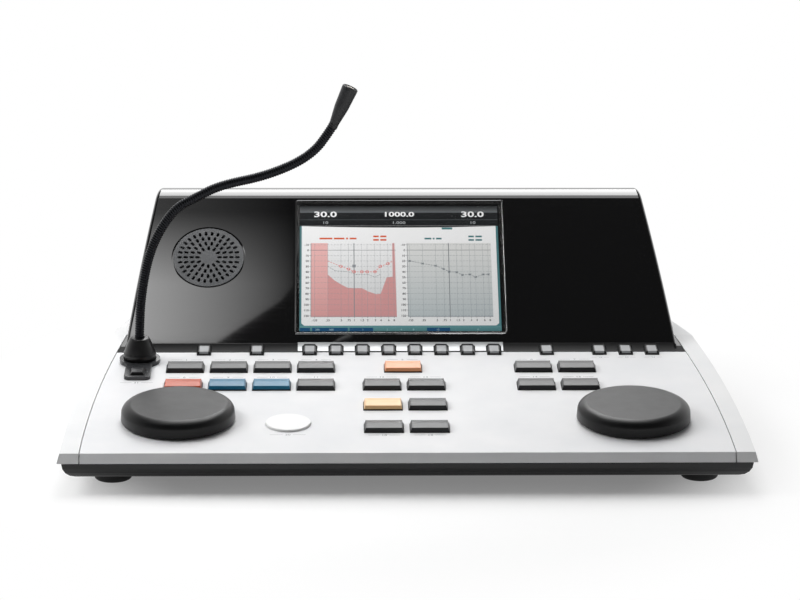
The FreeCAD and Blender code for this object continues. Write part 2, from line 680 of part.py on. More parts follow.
def grille_tools():
    seat = post("grille_seat", "grille_radius + grille_groove", "hood_wall + grille_thick", "grille_x",
                "grille_run", "-grille_thick")
    through = post("grille_through", "grille_radius - grille_ledge", "hood_wall * 4", "grille_x",
                   "grille_run", "-hood_wall * 2")
    return [seat, through]


def display_hood(deck):
    flange = cut("hood_flange", common("flange_full", [
        deck, lens("flange_plan", [("trim_width", "-5"), ("trim_width", "edge_height * 4")])]),
        [ahead_of_seam("plate_zone_behind", "plate_run + seam_gap")])
    shell = cut("hood_shell", fuse("hood_full", hood_outside() + [flange]), [hood_inside()])
    bosses, pilots = screw_bosses("rear")
    rear_window = block("rear_opening", "rear_panel_width - rear_opening_lap * 2", "hood_wall * 4",
                        "rear_panel_height - rear_opening_lap * 2", y=HOOD_REAR_Y,
                        z="rear_panel_z - rear_panel_height / 2 + rear_opening_lap")
    notches = to_plate(group("hood_notches", small_notches("hood_notch")))
    panel_cuts = to_panel(group("panel_cuts", window_tools() + grille_tools()))
    return cut("display_hood", fuse("hood_with_bosses", [shell] + bosses),
               [notches, panel_cuts, rear_window] + pilots)


def display_window():
    pane = block("display_window", "window_width", "window_height", "window_thick", y="0", z="0")
    return tilt(pane, "panel_angle",
                x="-window_width / 2",
                y=on_panel("window_run - window_height / 2", "-window_thick - window_recess")[0],
                z=on_panel("window_run - window_height / 2", "-window_thick - window_recess")[1])


def lcd_module():
    low = "-hood_wall - inner_gap - lcd_thick"
    case = block("lcd_case", "lcd_width", "lcd_height", "lcd_thick", y="window_run", z=low)
    glass = block("lcd_glass", "window_width - window_ledge * 2 - 0.6",
                  "window_height - window_ledge * 2 - 0.6", "lcd_thick / 2", y="window_run",
                  z="-window_thick - window_recess - inner_gap - lcd_thick / 2")
    lead = block("lcd_lead", "lcd_width / 4", "lcd_height / 3", "1.2", y="window_run",
                 z="-hood_wall - inner_gap - lcd_thick - 1")
    return to_panel(fuse("lcd_module", [case, glass, lead]))


def speaker_grille():
    """A flush disc with rings of outward-pointing holes and a blank middle."""
    body = doc.addObject("PartDesign::Body", "speaker_grille")
    plane = next(item for item in body.Origin.OriginFeatures if item.Role == "XY_Plane")

    def flat_sketch(name):
        sketch = body.newObject("Sketcher::SketchObject", name)
        sketch.AttachmentSupport = [(plane, "")]
        sketch.MapMode = "FlatFace"
        return sketch

    disc = flat_sketch("grille_disc")
    disc.addGeometry(Part.Circle(V(), V(0, 0, 1), number("grille_radius")), False)
    disc.addConstraint(Sketcher.Constraint("Coincident", 0, 3, -1, 1))
    datum = disc.addConstraint(Sketcher.Constraint("Radius", 0, number("grille_radius")))
    disc.setExpression(f"Constraints[{datum}]", cell("grille_radius"))
    pad = body.newObject("PartDesign::Pad", "grille_pad")
    pad.Profile = disc
    bind(pad, Length="grille_thick")
    doc.recompute()
    for ring, (holes, share) in enumerate(((12, 0.312), (18, 0.478), (24, 0.652), (30, 0.82)), 1):
        middle = f"grille_radius * {share}"
        ends = (f"{middle} - (slot_length - slot_width) / 2", f"{middle} + (slot_length - slot_width) / 2")
        inner, outer = (number(end) for end in ends)
        half = number("slot_width / 2")
        slot = flat_sketch(f"grille_slot_{ring}")
        slot.addGeometry([
            Part.ArcOfCircle(Part.Circle(V(outer, 0, 0), V(0, 0, 1), half), -math.pi / 2, math.pi / 2),
            Part.LineSegment(V(outer, half, 0), V(inner, half, 0)),
            Part.ArcOfCircle(Part.Circle(V(inner, 0, 0), V(0, 0, 1), half), math.pi / 2, 3 * math.pi / 2),
            Part.LineSegment(V(inner, -half, 0), V(outer, -half, 0))], False)
        for line in range(4):
            slot.addConstraint(Sketcher.Constraint("Tangent", line, 2, (line + 1) % 4, 1))
        for arc, place, text in ((0, outer, ends[1]), (2, inner, ends[0])):
            slot.addConstraint(Sketcher.Constraint("PointOnObject", arc, 3, -1))
            datum = slot.addConstraint(Sketcher.Constraint("DistanceX", -1, 1, arc, 3, place))
            slot.setExpression(f"Constraints[{datum}]", cell(text))
        datum = slot.addConstraint(Sketcher.Constraint("Radius", 0, half))
        slot.setExpression(f"Constraints[{datum}]", cell("slot_width / 2"))
        pocket = body.newObject("PartDesign::Pocket", f"grille_hole_{ring}")
        pocket.Profile = slot
        pocket.Type = "ThroughAll"
        pocket.Midplane = True
        pattern = body.newObject("PartDesign::PolarPattern", f"grille_ring_{ring}")
        pattern.Originals = [pocket]
        pattern.Axis = (disc, ["N_Axis"])
        pattern.Angle = 360
        pattern.Occurrences = holes
        body.Tip = pattern
        doc.recompute()
    y, z = on_panel("grille_run", "-grille_thick")
    return tilt(body, "panel_angle", x="grille_x", y=y, z=z)


def loudspeaker():
    """A round rim, a tapering basket and a magnet, behind the grille; the cone is hollow."""
    def across(share):
        return f"speaker_radius * {share}"

    def back(share):
        return f"-speaker_depth * {share}"
    magnet = [("0", back(1)), (across(0.5), back(1)), (across(0.5), back(0.6))]
    basket_and_rim = [(across(0.62), back(0.6)), (across(0.9), "-speaker_rim"),
                      (across(1), "-speaker_rim"), (across(1), "0")]
    cone = [(across(0.85), "0"), (across(0.3), back(0.3)), ("0", back(0.25))]
    basket = turned("loudspeaker", magnet + basket_and_rim + cone)
    y, z = on_panel("grille_run", "-hood_wall - inner_gap")
    return tilt(basket, "panel_angle", x="grille_x", y=y, z=z)


# ---- buttons ----

def stem_and_pin(name, x, run):
    """A button's stem, and the thinner pin that enters its switch."""
    shoulder = "(switch_top - travel - 0.3)"
    return [post(f"{name}_stem", "stem_radius", f"{shoulder} - key_skirt + 0.5", x, run, f"-{shoulder}"),
            post(f"{name}_pin", "pin_radius", "pin_entry + switch_top - key_skirt", x, run,
                 "-switch_top - pin_entry")]


def upper_edges(low):
    """A test for edges wholly above a height, and those that reach up from it."""
    def test(edge):
        return max(v.Z for v in edge.Vertexes) > low + 0.1
    return test


def push_key(name, x, run, wide="key_width", deep="key_depth", inset="key_top_inset", foot="0",
             rise="key_rise", crown="key_crown", soften="key_round"):
    """A drafted button with two top facets that meet at a low ridge."""
    skirt = block(f"{name}_skirt", wide, deep, f"key_skirt + ({foot})", x, run, "-key_skirt")
    sides = drafted(f"{name}_sides", wide, deep, f"({rise}) - ({foot})", inset, x, run, foot)
    roof = drafted(f"{name}_roof", f"({wide}) - ({inset}) * 2", f"({deep}) - ({inset}) * 2", crown, "0",
                   x, run, rise, ridge=True)
    cap = fuse(f"{name}_cap", [skirt, sides, roof])
    top = number(foot)
    soft = rounded(f"{name}_soft", cap, [(number(soften), upper_edges(top))])
    return to_plate(fuse(name, [soft] + stem_and_pin(name, x, run)))


def small_key(name, x):
    """A narrow button whose top follows the cove up to the panel."""
    slope = f"tan{RISE_ANGLE}"
    lift = f"small_cover / cos{RISE_ANGLE}"
    back = "(small_front_run + small_length)"
    bend = f"panel_foot_run + (small_rise - {lift}) / {slope}"
    top = f"({back} - panel_foot_run) * {slope} + {lift}"
    points = [("small_front_run", "-key_skirt"), ("small_front_run", "small_rise - small_draft"),
              ("small_front_run + small_draft", "small_rise"), (bend, "small_rise"), (back, top),
              (back, "-key_skirt")]
    bent = rounded(f"{name}_bent", prism(f"{name}_side", points, "small_width", x), [
        (number("small_bend_radius"), runs_across_at(number(bend), number("small_rise")))])
    low = number("small_rise") - 0.1

    def top_edges(edge):
        return min(v.Z for v in edge.Vertexes) > low and edge.BoundBox.XLength < 0.01
    soft = rounded(f"{name}_soft", bent, [(number("small_draft"), top_edges)], "Part::Chamfer")
    return to_plate(fuse(name, [soft] + stem_and_pin(name, x, "small_stem_run")))


def tone_key():
    cap = post("tone_cap", "tone_radius", "key_skirt + tone_rise", "tone_x", "tone_run", "-key_skirt")
    rim = number("tone_rise")
    soft = rounded("tone_soft", cap, [(number("key_round") * 1.5,
                                       lambda edge: min(v.Z for v in edge.Vertexes) > rim - 0.01)])
    return to_plate(fuse("tone_key", [soft] + stem_and_pin("tone", "tone_x", "tone_run")))


def key_switches():
    switches = []
    for count, (x, run) in enumerate(STEMS, 1):
        case = block(f"switch_case_{count}", "switch_width", "switch_width", "board_top - switch_top",
                     x, run, "-board_top")
        hole = post(f"switch_hole_{count}", "pin_radius + pin_play", "board_top - switch_top", x, run,
                    "-switch_top - pin_entry - travel - 0.4")
        switches.append(cut(f"switch_{count}", case, [hole]))
    return to_plate(group("key_switches", switches))


def key_board():
    deep = "board_back_run - board_front_run"
    board = block("key_board", "board_half_width * 2", deep, "board_thick")
    low = "-board_top - board_thick"
    return tilt(board, "plate_slope", x="-board_half_width", y=on_plate("board_front_run", low)[0],
                z=on_plate("board_front_run", low)[1])


# ---- dials ----

def dial(name, x):
    """A knob with a rounded shoulder and a moulded spindle."""
    shape = turned(f"{name}_shape", [
        ("0", "-spindle_drop"), ("spindle_radius", "-spindle_drop"), ("spindle_radius", "hub_recess_rise"),
        ("hub_recess_radius", "hub_recess_rise"), ("hub_recess_radius", "dial_gap"),
        ("dial_radius", "dial_gap"), ("dial_radius - dial_flare", "dial_rise - dial_shoulder"),
        ("dial_top_radius", "dial_rise"), ("0", "dial_rise")])
    shoulder = number("dial_rise - dial_shoulder")
    top = number("dial_rise")

    def at_height(z):
        return lambda edge: len(edge.Vertexes) == 1 and abs(edge.Vertexes[0].Z - z) < 0.01
    soft = rounded(f"{name}_soft", shape, [(number("dial_shoulder_round"), at_height(shoulder)),
                                           (number("dial_edge_round"), at_height(top))])
    y, z = on_plate("dial_run")
    return tilt(group(name, [soft]), "plate_slope", x=x, y=y, z=z)


def dial_encoders():
    """Two rotary encoders: body, threaded bush with a running bore, and a nut on the plate."""
    pieces = []
    for name, x in DIALS:
        body = block(f"{name}_encoder_body", "encoder_width", "encoder_width",
                     "board_top - skin - inner_gap", x, "dial_run", "-board_top")
        bush = post(f"{name}_bush", "bush_radius", "board_top - 1 + bush_rise", x, "dial_run",
                    "1 - board_top")
        bore = post(f"{name}_bore", "spindle_radius + spindle_play", "spindle_drop + bush_rise + 0.4", x,
                    "dial_run", "-spindle_drop - 0.3")
        pieces.append(cut(f"{name}_encoder", fuse(f"{name}_encoder_full", [body, bush]), [bore]))
        hexagon = doc.addObject("Part::Prism", f"{name}_nut_blank")
        hexagon.Polygon = 6
        bind(hexagon, Circumradius="nut_width / 2 / cos(30)", Height="nut_thick", Base_x=x,
             Base_y="dial_run")
        hole = post(f"{name}_nut_hole", "bush_radius + spindle_play", "nut_thick * 3", x, "dial_run",
                    "-nut_thick")
        pieces.append(cut(f"{name}_nut", hexagon, [hole]))
    return to_plate(group("dial_encoders", pieces))


# ---- microphone ----

def mic_socket():
    """Platform, collar, and the spigot inside the boot that carries the neck's first ball."""
    flat = block("socket_flat", "socket_width", "mic_run - socket_front_run", "socket_rise", "mic_x",
                 "(mic_run + socket_front_run) / 2")
    front = number("socket_front_run")
    corners = rounded("socket_corners", flat, [(number("socket_corner"), lambda edge: (
        edge.BoundBox.XLength < 0.01 and edge.BoundBox.YLength < 0.01
        and edge.BoundBox.YMin < front + 0.1))])
    rim = number("socket_rise")
    soft = rounded("socket_soft", corners, [(number("key_round"),
                                             lambda edge: edge.BoundBox.ZMin > rim - 0.01)])
    collar = post("socket_collar", "collar_radius", "collar_rise", "mic_x", "mic_run")
    dish = post("socket_dish", "boot_radius + key_gap", "collar_rise", "mic_x", "mic_run",
                "collar_rise - collar_dish")
    spigot = post("socket_spigot", "neck_radius", "boot_rise - collar_rise / 2", "mic_x", "mic_run",
                  "collar_rise / 2")
    stub = post("socket_stub", "socket_stub_radius", "switch_top", "mic_x", "mic_run", "-switch_top + 0.5")
    base = cut("socket_base", fuse("socket_full", [soft, collar, stub]),
               [dish, talk_opening("socket_talk")])
    stalk = post("socket_stalk", "ball_stalk", "bend_below + 0.5", "mic_x", "mic_run", "boot_rise - 0.5")
    knuckle = ball("socket_ball", "ball_radius", "mic_x", "mic_run", "boot_rise + bend_below")
    return to_plate(fuse("mic_socket", [base, spigot, stalk, knuckle]))


def mic_boot():
    """A bell-shaped sleeve: a straight band with a step, then a curve in to the neck."""
    low = "collar_rise - collar_dish"
    bore = "neck_radius + ball_play"

    def bell(share, up):
        return f"boot_radius * {share}", f"{low} + boot_band + (boot_rise - boot_band) * {up}"
    boot = turned("mic_boot", [
        (bore, low), ("boot_radius", low), bell(1, 0), bell(0.95, 0.03), bell(0.93, 0.26), bell(0.8, 0.5),
        ("boot_top_radius", "boot_rise"), (bore, "boot_rise")])
    y, z = on_plate("mic_run")
    return tilt(boot, "plate_slope", x="mic_x", y=y, z=z)


# The neck's centre line, across and up from its first bend: straight runs joined by arcs.
LOWER_NECK = [(0.0, 0.0), (0.6, 22.0), (7.0, 50.0), (20.0, 71.5), (33.0, 78.2)]
UPPER_NECK = [(33.0, 78.2), (46.0, 84.9), (73.0, 90.5), (96.8, 101.5), (108.1, 117.1)]
HEAD_END = (117.6, 138.2)


def neck_start():
    """World position of the neck's first bend."""
    rise = "boot_rise + bend_below"
    y, z = on_plate("mic_run", rise)
    return V(number("mic_x"), number(y), number(z))


def neck_point(point):
    return neck_start() + V(point[0], 0, point[1])


def heading(start, end):
    return (end - start).normalize()


def arc_path(points):
    """Straight runs joined by tangent arcs, as large as the runs allow."""
    edges = []
    here = points[0]
    for before, corner, after in zip(points, points[1:], points[2:]):
        into, out = heading(before, corner), heading(corner, after)
        cutback = 0.45 * min(before.distanceToPoint(corner), corner.distanceToPoint(after))
        start, end = corner - into * cutback, corner + out * cutback
        radius = cutback / math.tan(into.getAngle(out) / 2)
        inward = (out - into).normalize()
        centre = corner + inward * math.hypot(radius, cutback)
        middle = centre - inward * radius
        edges += [Part.LineSegment(here, start).toShape(), Part.Arc(start, middle, end).toShape()]
        here = end
    edges.append(Part.LineSegment(here, points[-1]).toShape())
    return Part.Wire(edges)


def neck_tube(name, line):
    """One length of the neck: a socket at its lower end and a ball at its upper end."""
    points = [neck_point(point) for point in line]
    first, last = points[0], points[-1]
    lower, upper = heading(first, points[1]), heading(points[-2], last)
    points[0] = first + lower * number("bend_above")
    points[-1] = last - upper * number("bend_below")
    path = arc_path(points)
    radius = number("neck_radius")
    ring = Part.Wire(Part.makeCircle(radius, points[0], lower))
    tube = path.makePipeShell([ring], True, False)
    stalk = Part.makeCylinder(number("ball_stalk"), number("bend_below + 0.5"),
                              points[-1] - upper * 0.5, upper)
    knuckle = Part.makeSphere(number("ball_radius"), last)
    hollow = Part.makeSphere(number("ball_radius + ball_play"), first)
    piece = doc.addObject("Part::Feature", name)
    piece.Shape = tube.cut(hollow).fuse([stalk, knuckle])
    return piece


def mic_head():
    """A tapering capsule with a dished end grille, aimed up and to the right."""
    shape = turned("head_shape", [
        ("0", "bend_above"), ("neck_radius", "bend_above"), ("neck_radius", "3"),
        ("head_radius * 0.88", "head_length / 2"), ("head_radius", "head_length - 2"),
        ("head_radius", "head_length - 0.6"),
        ("head_radius - 0.6", "head_length"), ("head_radius - 1.2", "head_length"),
        ("head_radius - 1.2", "head_length - 0.6"), ("0", "head_length - 0.6")])
    hollow = ball("head_hollow", "ball_radius + ball_play")
    head = cut("mic_head", shape, [hollow])
    aim = neck_point(HEAD_END) - neck_point(UPPER_NECK[-1])
    head.Placement = FreeCAD.Placement(neck_point(UPPER_NECK[-1]), FreeCAD.Rotation(V(0, 0, 1), aim))
    return head


# ---- bottom case, boards, feet and screws ----

# The flats of the curve under the rim, as turns from upright to level.
CASE_TURNS = (0, 18, 36, 54, 72, 90)


def case_shape(name, inset, floor, roof):
    """The tray's outer or inner form: its walls curve in under the rim to the floor."""
    front = f"{FRONT_Y} - lip_flare + {inset}"
    rear = f"{REAR_Y} - {inset}"
    rise = "(edge_height - lip_height - seam_gap - case_bottom)"
    curve = [(f"case_sweep * (1 - cos({turn}))", f"{floor} + {rise} * (1 - sin({turn}))")
             for turn in CASE_TURNS]
    points = [(f"{front} + {draw}", z) for draw, z in reversed(curve)] + roof(front, rear)
    points += [(f"{rear} - {draw}", z) for draw, z in curve]
    plan = [(f"{inset} + {draw}", z) for draw, z in reversed(curve)] + [(inset, "edge_height * 4")]
    return common(name, [prism(f"{name}_side", points, WIDE), lens(f"{name}_plan", plan)])


def bottom_case():
    drop = "(lip_height + seam_gap)"

    def under_deck(front, rear):
        return [(CREASE[0], f"{CREASE[1]} - {drop}"), (rear, deck_z(rear, drop))]

    def open_top(front, rear):
        return [(front, "edge_height * 3"), (rear, "edge_height * 3")]
    outside = case_shape("case_blank", "case_inset", "case_bottom", under_deck)
    hollow = case_shape("case_hollow", "(case_inset + case_wall)", "(case_bottom + case_wall)", open_top)
    posts, holes = [], []
    for count, (x, place) in enumerate(SCREWS):
        y, top = screw_y(place), boss_bottom(place)
        posts.append(post(f"case_post_{count}", "boss_radius", f"{top} - case_bottom - case_wall / 2", x, y,
                          "case_bottom + case_wall / 2"))
        holes.append(post(f"case_hole_{count}", "screw_radius + screw_play", top, x, y))
        holes.append(post(f"case_sink_{count}", "screw_head_radius + screw_play",
                          f"{top} - post_web", x, y))
    for count, (x, y) in enumerate(MAIN_POSTS):
        posts.append(post(f"main_post_{count}", "post_radius", "main_board_z - case_bottom - 1", x, y,
                          "case_bottom + 1"))
    return cut("bottom_case", fuse("case_full", [cut("case_tray", outside, [hollow])] + posts), holes)


MAIN_Y = f"({REAR_Y} - main_board_rear - main_board_depth / 2)"
MAIN_POSTS = [(f"{x} * (main_board_width / 2 - 6)", f"{MAIN_Y} + {y} * (main_board_depth / 2 - 6)")
              for x in (-1, 1) for y in (-1, 1)]


# Parts on the main board: width, depth and height, then the place as shares of the board's size.
BOARD_PARTS = {
    "processor": ("22", "22", "2.4", -0.12, 0.05),
    "converter": ("14", "20", "2.6", 0.12, -0.15),
    "panel_plug": ("30", "8", "8", -0.36, -0.38),
    "transformer": ("26", "16", "12", 0.36, 0.3),
    "choke": ("12", "12", "10", 0.18, 0.32),
    "key_plug": ("40", "7", "7", 0.05, -0.42),
}


def main_board():
    board = block("main_blank", "main_board_width", "main_board_depth", "board_thick", y=MAIN_Y,
                  z="main_board_z")
    fitted = [block(name, wide, deep, tall, f"main_board_width * ({across})",
                    f"{MAIN_Y} + main_board_depth * ({back})", "main_board_z + board_thick / 2")
              for name, (wide, deep, tall, across, back) in BOARD_PARTS.items()]
    return fuse("main_board", [board] + fitted)


def rubber_feet():
    front, rear = "foot_front - depth / 2", "depth / 2 - foot_rear"
    places = (("-foot_x", front), ("foot_x", front), ("-rear_foot_x", rear), ("rear_foot_x", rear))
    feet = []
    for count, (x, y) in enumerate(places):
        blank = post(f"foot_{count}_blank", "foot_radius", "case_bottom", x, y)
        feet.append(rounded(f"foot_{count}", blank, [
            (number("foot_round"), lambda edge: edge.BoundBox.ZMax < 0.01)]))
    return group("rubber_feet", feet)


def case_screws():
    screws = []
    for count, (x, place) in enumerate(SCREWS):
        seat = f"({boss_bottom(place)} - post_web)"
        head = post(f"screw_head_{count}", "screw_head_radius", "screw_head_height", x, screw_y(place),
                    f"{seat} - screw_head_height")
        shaft = post(f"screw_shaft_{count}", "screw_radius", "post_web + screw_bite + 0.5", x,
                     screw_y(place), f"{seat} - 0.5")
        screws.append(fuse(f"screw_{count}", [head, shaft]))
    return group("case_screws", screws)


# ---- rear panel and its connectors, drawn facing up, then turned to face the rear ----

PANEL_FACE_Y = f"({HOOD_REAR_Y} - hood_wall - inner_gap)"
JACKS = [f"jack_first_x + {n} * jack_pitch" for n in range(int(number("jack_count")))]


def to_rear(thing):
    return tilt(thing, "-90", y=PANEL_FACE_Y, z="rear_panel_z")


def rear_panel():
    """The connector plate, with the power switch's frame behind it."""
    plate = block("rear_plate", "rear_panel_width", "rear_panel_height", "rear_panel_thick",
                  z="-rear_panel_thick")
    wide, high = "rocker_width + rocker_play * 2", "rocker_height + rocker_play * 2"
    frame = block("rocker_frame", f"{wide} + rocker_frame_wall * 2", f"{high} + rocker_frame_wall * 2",
                  "rocker_depth * 2 + rocker_bezel", "rocker_x", "0", "-rocker_depth * 2")
    well = block("rocker_well", wide, high, "rocker_depth * 4", "rocker_x", "0", "-rocker_depth * 2 + 1")
    axle = cross_pin("rocker_axle_hole", "axle_radius + axle_play",
                     f"{wide} + rocker_frame_wall * 1.5", z="-rocker_depth")
    bind(axle, Base_x=f"rocker_x - ({wide} + rocker_frame_wall * 1.5) / 2")
    holes = [post(f"jack_hole_{n}", "jack_radius + key_gap", "rear_panel_thick * 3", x, "0",
                  "-rear_panel_thick * 2") for n, x in enumerate(JACKS)]
    inlet = block("inlet_hole", "inlet_width + key_gap * 2", "inlet_height + key_gap * 2",
                  "rear_panel_thick * 3", "inlet_x", "0", "-rear_panel_thick * 2")
    return to_rear(cut("rear_panel", fuse("rear_full", [plate, frame]), [well, axle, inlet] + holes))


def rear_jacks():
    """Headphone jacks: threaded sleeve, ring nut and a square body, each with a blind bore."""
    jacks = []
    for n, x in enumerate(JACKS):
        body = block(f"jack_body_{n}", "jack_body_width", "jack_body_width",
                     "jack_depth", x, "0", "-rear_panel_thick - inner_gap - jack_depth")
        sleeve = post(f"jack_sleeve_{n}", "jack_radius", "jack_depth / 2 + jack_nut_thick + 0.4", x, "0",
                      "-jack_depth / 2")
        nut = post(f"jack_nut_{n}", "jack_nut_radius", "jack_nut_thick", x)
        bore = post(f"jack_bore_{n}", "jack_bore", "jack_depth + jack_nut_thick + 1", x, "0",
                    "-jack_depth + 0.5")
        jacks.append(cut(f"jack_{n}", fuse(f"jack_full_{n}", [body, sleeve, nut]), [bore]))
    return to_rear(group("rear_jacks", jacks))


def power_inlet():
    body = block("inlet_body", "inlet_width", "inlet_height", "inlet_depth", "inlet_x", "0", "-inlet_depth")
    bezel = block("inlet_bezel", "inlet_width + 3", "inlet_height + 2", "inlet_bezel_thick", "inlet_x")
    recess = block("inlet_recess", "inlet_width - inlet_wall * 2", "inlet_height - inlet_wall * 2",
                   "inlet_depth * 2", "inlet_x", "0", "inlet_wall * 2 - inlet_depth")
    shell = cut("inlet_shell", fuse("inlet_full", [body, bezel]), [recess])
    pins = [block(f"inlet_pin_{n}", "inlet_pin_thick", "inlet_pin_thick * 2", "inlet_pin_length + 0.5",
                  f"inlet_x + {n - 1} * inlet_pin_pitch", f"({abs(n - 1)} * 2 - 1) * inlet_pin_thick",
                  "inlet_wall * 2 - inlet_depth - 0.5") for n in range(3)]
    return to_rear(fuse("power_inlet", [shell] + pins))


def power_rocker():
    """A rocker resting with its lower end out; its two axle ends turn in the frame."""
    half = "(rocker_height / 2 - rocker_end_gap)"
    points = [(f"-{half}", "rocker_depth - 0.4"), ("0", "rocker_depth - 1.4"), (half, "rocker_depth - 0.4"),
              (half, "rocker_depth / 3"), ("rocker_height / 4", "-rocker_depth / 2"),
              ("-rocker_height / 4", "-rocker_depth / 2"), (f"-{half}", "rocker_depth / 3")]
    paddle = prism("rocker_paddle", points, "rocker_width")
    axle = cross_pin("rocker_axle", "axle_radius", "rocker_width + rocker_play * 2 + rocker_frame_wall")
    rocker = fuse("power_rocker", [paddle, axle])
    return tilt(rocker, "-90 + rocker_tilt", x="rocker_x", y=f"{PANEL_FACE_Y} - rocker_depth",
                z="rear_panel_z")


# ---- make every piece, check it and write it ----

deck = deck_shell()
PIECES = [control_plate(deck), side_trims(deck), display_hood(deck), display_window(), lcd_module(),
          speaker_grille(), loudspeaker(), tone_key()]
PIECES += [push_key(name, x, run) for name, x, run in RECTANGULAR]
PIECES += [small_key(name, x) for name, x in SMALL]
PIECES.append(push_key("talk_key", "mic_x", "talk_run", "talk_width", "talk_length", "talk_inset",
                       "socket_rise", "talk_rise - key_crown / 2", "key_crown / 2", "key_round / 2"))
PIECES += [dial(name, x) for name, x in DIALS]
PIECES += [dial_encoders(), key_switches(), key_board(), mic_socket(), mic_boot(),
           neck_tube("gooseneck_lower", LOWER_NECK), neck_tube("gooseneck_upper", UPPER_NECK), mic_head(),
           bottom_case(), main_board(), rubber_feet(), case_screws(), rear_panel(), rear_jacks(),
           power_inlet(), power_rocker()]
doc.recompute()

broken = [thing.Name for thing in doc.Objects
          if any(state in ("Invalid", "Error") for state in thing.State)]
if broken:
    raise SystemExit(f"these objects failed: {', '.join(broken)}")
for piece in PIECES:
    if piece.Shape.isNull() or not piece.Shape.isValid():
        raise SystemExit(f"{piece.Label} has no valid shape")
os.makedirs("parts", exist_ok=True)
for piece in PIECES:
    piece.Shape.exportStep(f"parts/{piece.Label}.step")
whole = FreeCAD.BoundBox()
for piece in PIECES:
    whole.add(piece.Shape.BoundBox)
print(f"{len(PIECES)} pieces, {whole.XLength:.1f} x {whole.YLength:.1f} x {whole.ZLength:.1f} mm")
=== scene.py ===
import json
import math

import bmesh
import bpy
from mathutils import Matrix, Vector


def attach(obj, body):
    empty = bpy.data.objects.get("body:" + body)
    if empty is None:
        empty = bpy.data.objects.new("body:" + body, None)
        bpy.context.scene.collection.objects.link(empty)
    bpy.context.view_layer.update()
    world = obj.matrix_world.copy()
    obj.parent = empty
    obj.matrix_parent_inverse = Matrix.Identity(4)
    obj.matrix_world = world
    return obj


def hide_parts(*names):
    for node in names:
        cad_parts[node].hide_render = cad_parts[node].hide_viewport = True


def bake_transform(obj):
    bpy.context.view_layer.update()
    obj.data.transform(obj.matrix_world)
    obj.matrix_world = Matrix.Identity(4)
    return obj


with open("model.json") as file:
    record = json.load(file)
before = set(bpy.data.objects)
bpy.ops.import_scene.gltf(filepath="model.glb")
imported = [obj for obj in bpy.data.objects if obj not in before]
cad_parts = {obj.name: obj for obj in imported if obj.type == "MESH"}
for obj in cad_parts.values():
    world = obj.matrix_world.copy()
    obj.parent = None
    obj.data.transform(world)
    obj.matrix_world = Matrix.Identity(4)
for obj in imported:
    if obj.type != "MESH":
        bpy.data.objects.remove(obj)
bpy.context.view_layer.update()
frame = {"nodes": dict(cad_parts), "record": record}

# A desktop audiometer, dressed for its looks: a satin white deck with push buttons and two
# soft-touch dials, a polished black hood with a lit screen, and a microphone on a wound neck.
# Lengths written in millimetres pass through mm(); the scene itself is in metres.

MM = 0.001


def mm(*values):
    return Vector(values) * MM


# ---- the two sloped surfaces that carry most of the detail ----

def sloped(degrees, origin):
    """The frame of a surface that rises to the rear: x across, y up the slope, z out of it."""
    return Matrix.Translation(mm(*origin)) @ Matrix.Rotation(math.radians(degrees), 4, "X")


PLATE_SLOPE = 5.5
PLATE = sloped(PLATE_SLOPE, (0, -146.0, 21.7))
PANEL_FOOT = PLATE @ mm(0, 156.4, 0)
PANEL = sloped(42.4, PANEL_FOOT / MM)
KEY_PITCH = 14.95        # spacing of the small buttons
GRID = 24.3              # spacing of the rectangular buttons' columns
DIAL_X, DIAL_RUN = 121.7, 47.2
MIC_X, MIC_RUN = -147.5, 137.3
REAR_Y, REAR_Z = 136.75, 55
JACKS, JACK_PITCH, FIRST_JACK = 6, 21.0, -98
REAR_FACE = Matrix.Translation(mm(0, REAR_Y, REAR_Z)) @ Matrix.Rotation(math.pi, 4, "Z") \
    @ Matrix.Rotation(math.radians(90), 4, "X")
WHITE = (1, 1, 1, 1)


# ---- node helpers ----

def linear(hex_colour):
    """An sRGB hex colour as linear red, green, blue and alpha."""
    channels = [int(hex_colour[i:i + 2], 16) / 255 for i in (1, 3, 5)]
    return [c / 12.92 if c <= 0.04045 else ((c + 0.055) / 1.055) ** 2.4 for c in channels] + [1.0]


def add(tree, kind, inputs=None, **settings):
    """A node with its settings, and its inputs as values or as links from other sockets."""
    node = tree.nodes.new(kind)
    for name, value in settings.items():
        setattr(node, name, value)
    for place, value in (inputs or {}).items():
        if isinstance(value, bpy.types.NodeSocket):
            tree.links.new(value, node.inputs[place])
        else:
            node.inputs[place].default_value = value
    return node


def emptied(owner):
    """The node tree of a new material or world, without the nodes it starts with."""
    owner.use_nodes = True
    owner.node_tree.nodes.clear()
    return owner.node_tree


def surface(name, colour, roughness, metallic=0.0, ior=1.5, **more):
    """A material with its shader and object coordinates; more sets further sockets by name."""
    material = bpy.data.materials.new(name)
    tree = emptied(material)
    sockets = {"Base Color": linear(colour), "Roughness": roughness, "Metallic": metallic, "IOR": ior}
    sockets.update({key.replace("_", " "): value for key, value in more.items()})
    shader = add(tree, "ShaderNodeBsdfPrincipled", sockets)
    add(tree, "ShaderNodeOutputMaterial", {"Surface": shader.outputs[0]})
    place = add(tree, "ShaderNodeTexCoord").outputs["Object"]
    return material, tree, shader, place


def grain(tree, place, size, detail=2.0, stretch=(1, 1, 1)):
    """Noise whose lumps are size millimetres across, stretched along chosen axes."""
    scale = [1 / (size * MM * s) for s in stretch]
    scaled = add(tree, "ShaderNodeMapping", {"Vector": place, "Scale": scale}).outputs[0]
    return add(tree, "ShaderNodeTexNoise", {"Vector": scaled, "Scale": 1.0, "Detail": detail}).outputs[0]


def maths(tree, operation, *values):
    """The result of an operation on values or sockets."""
    return add(tree, "ShaderNodeMath", dict(enumerate(values)), operation=operation).outputs[0]


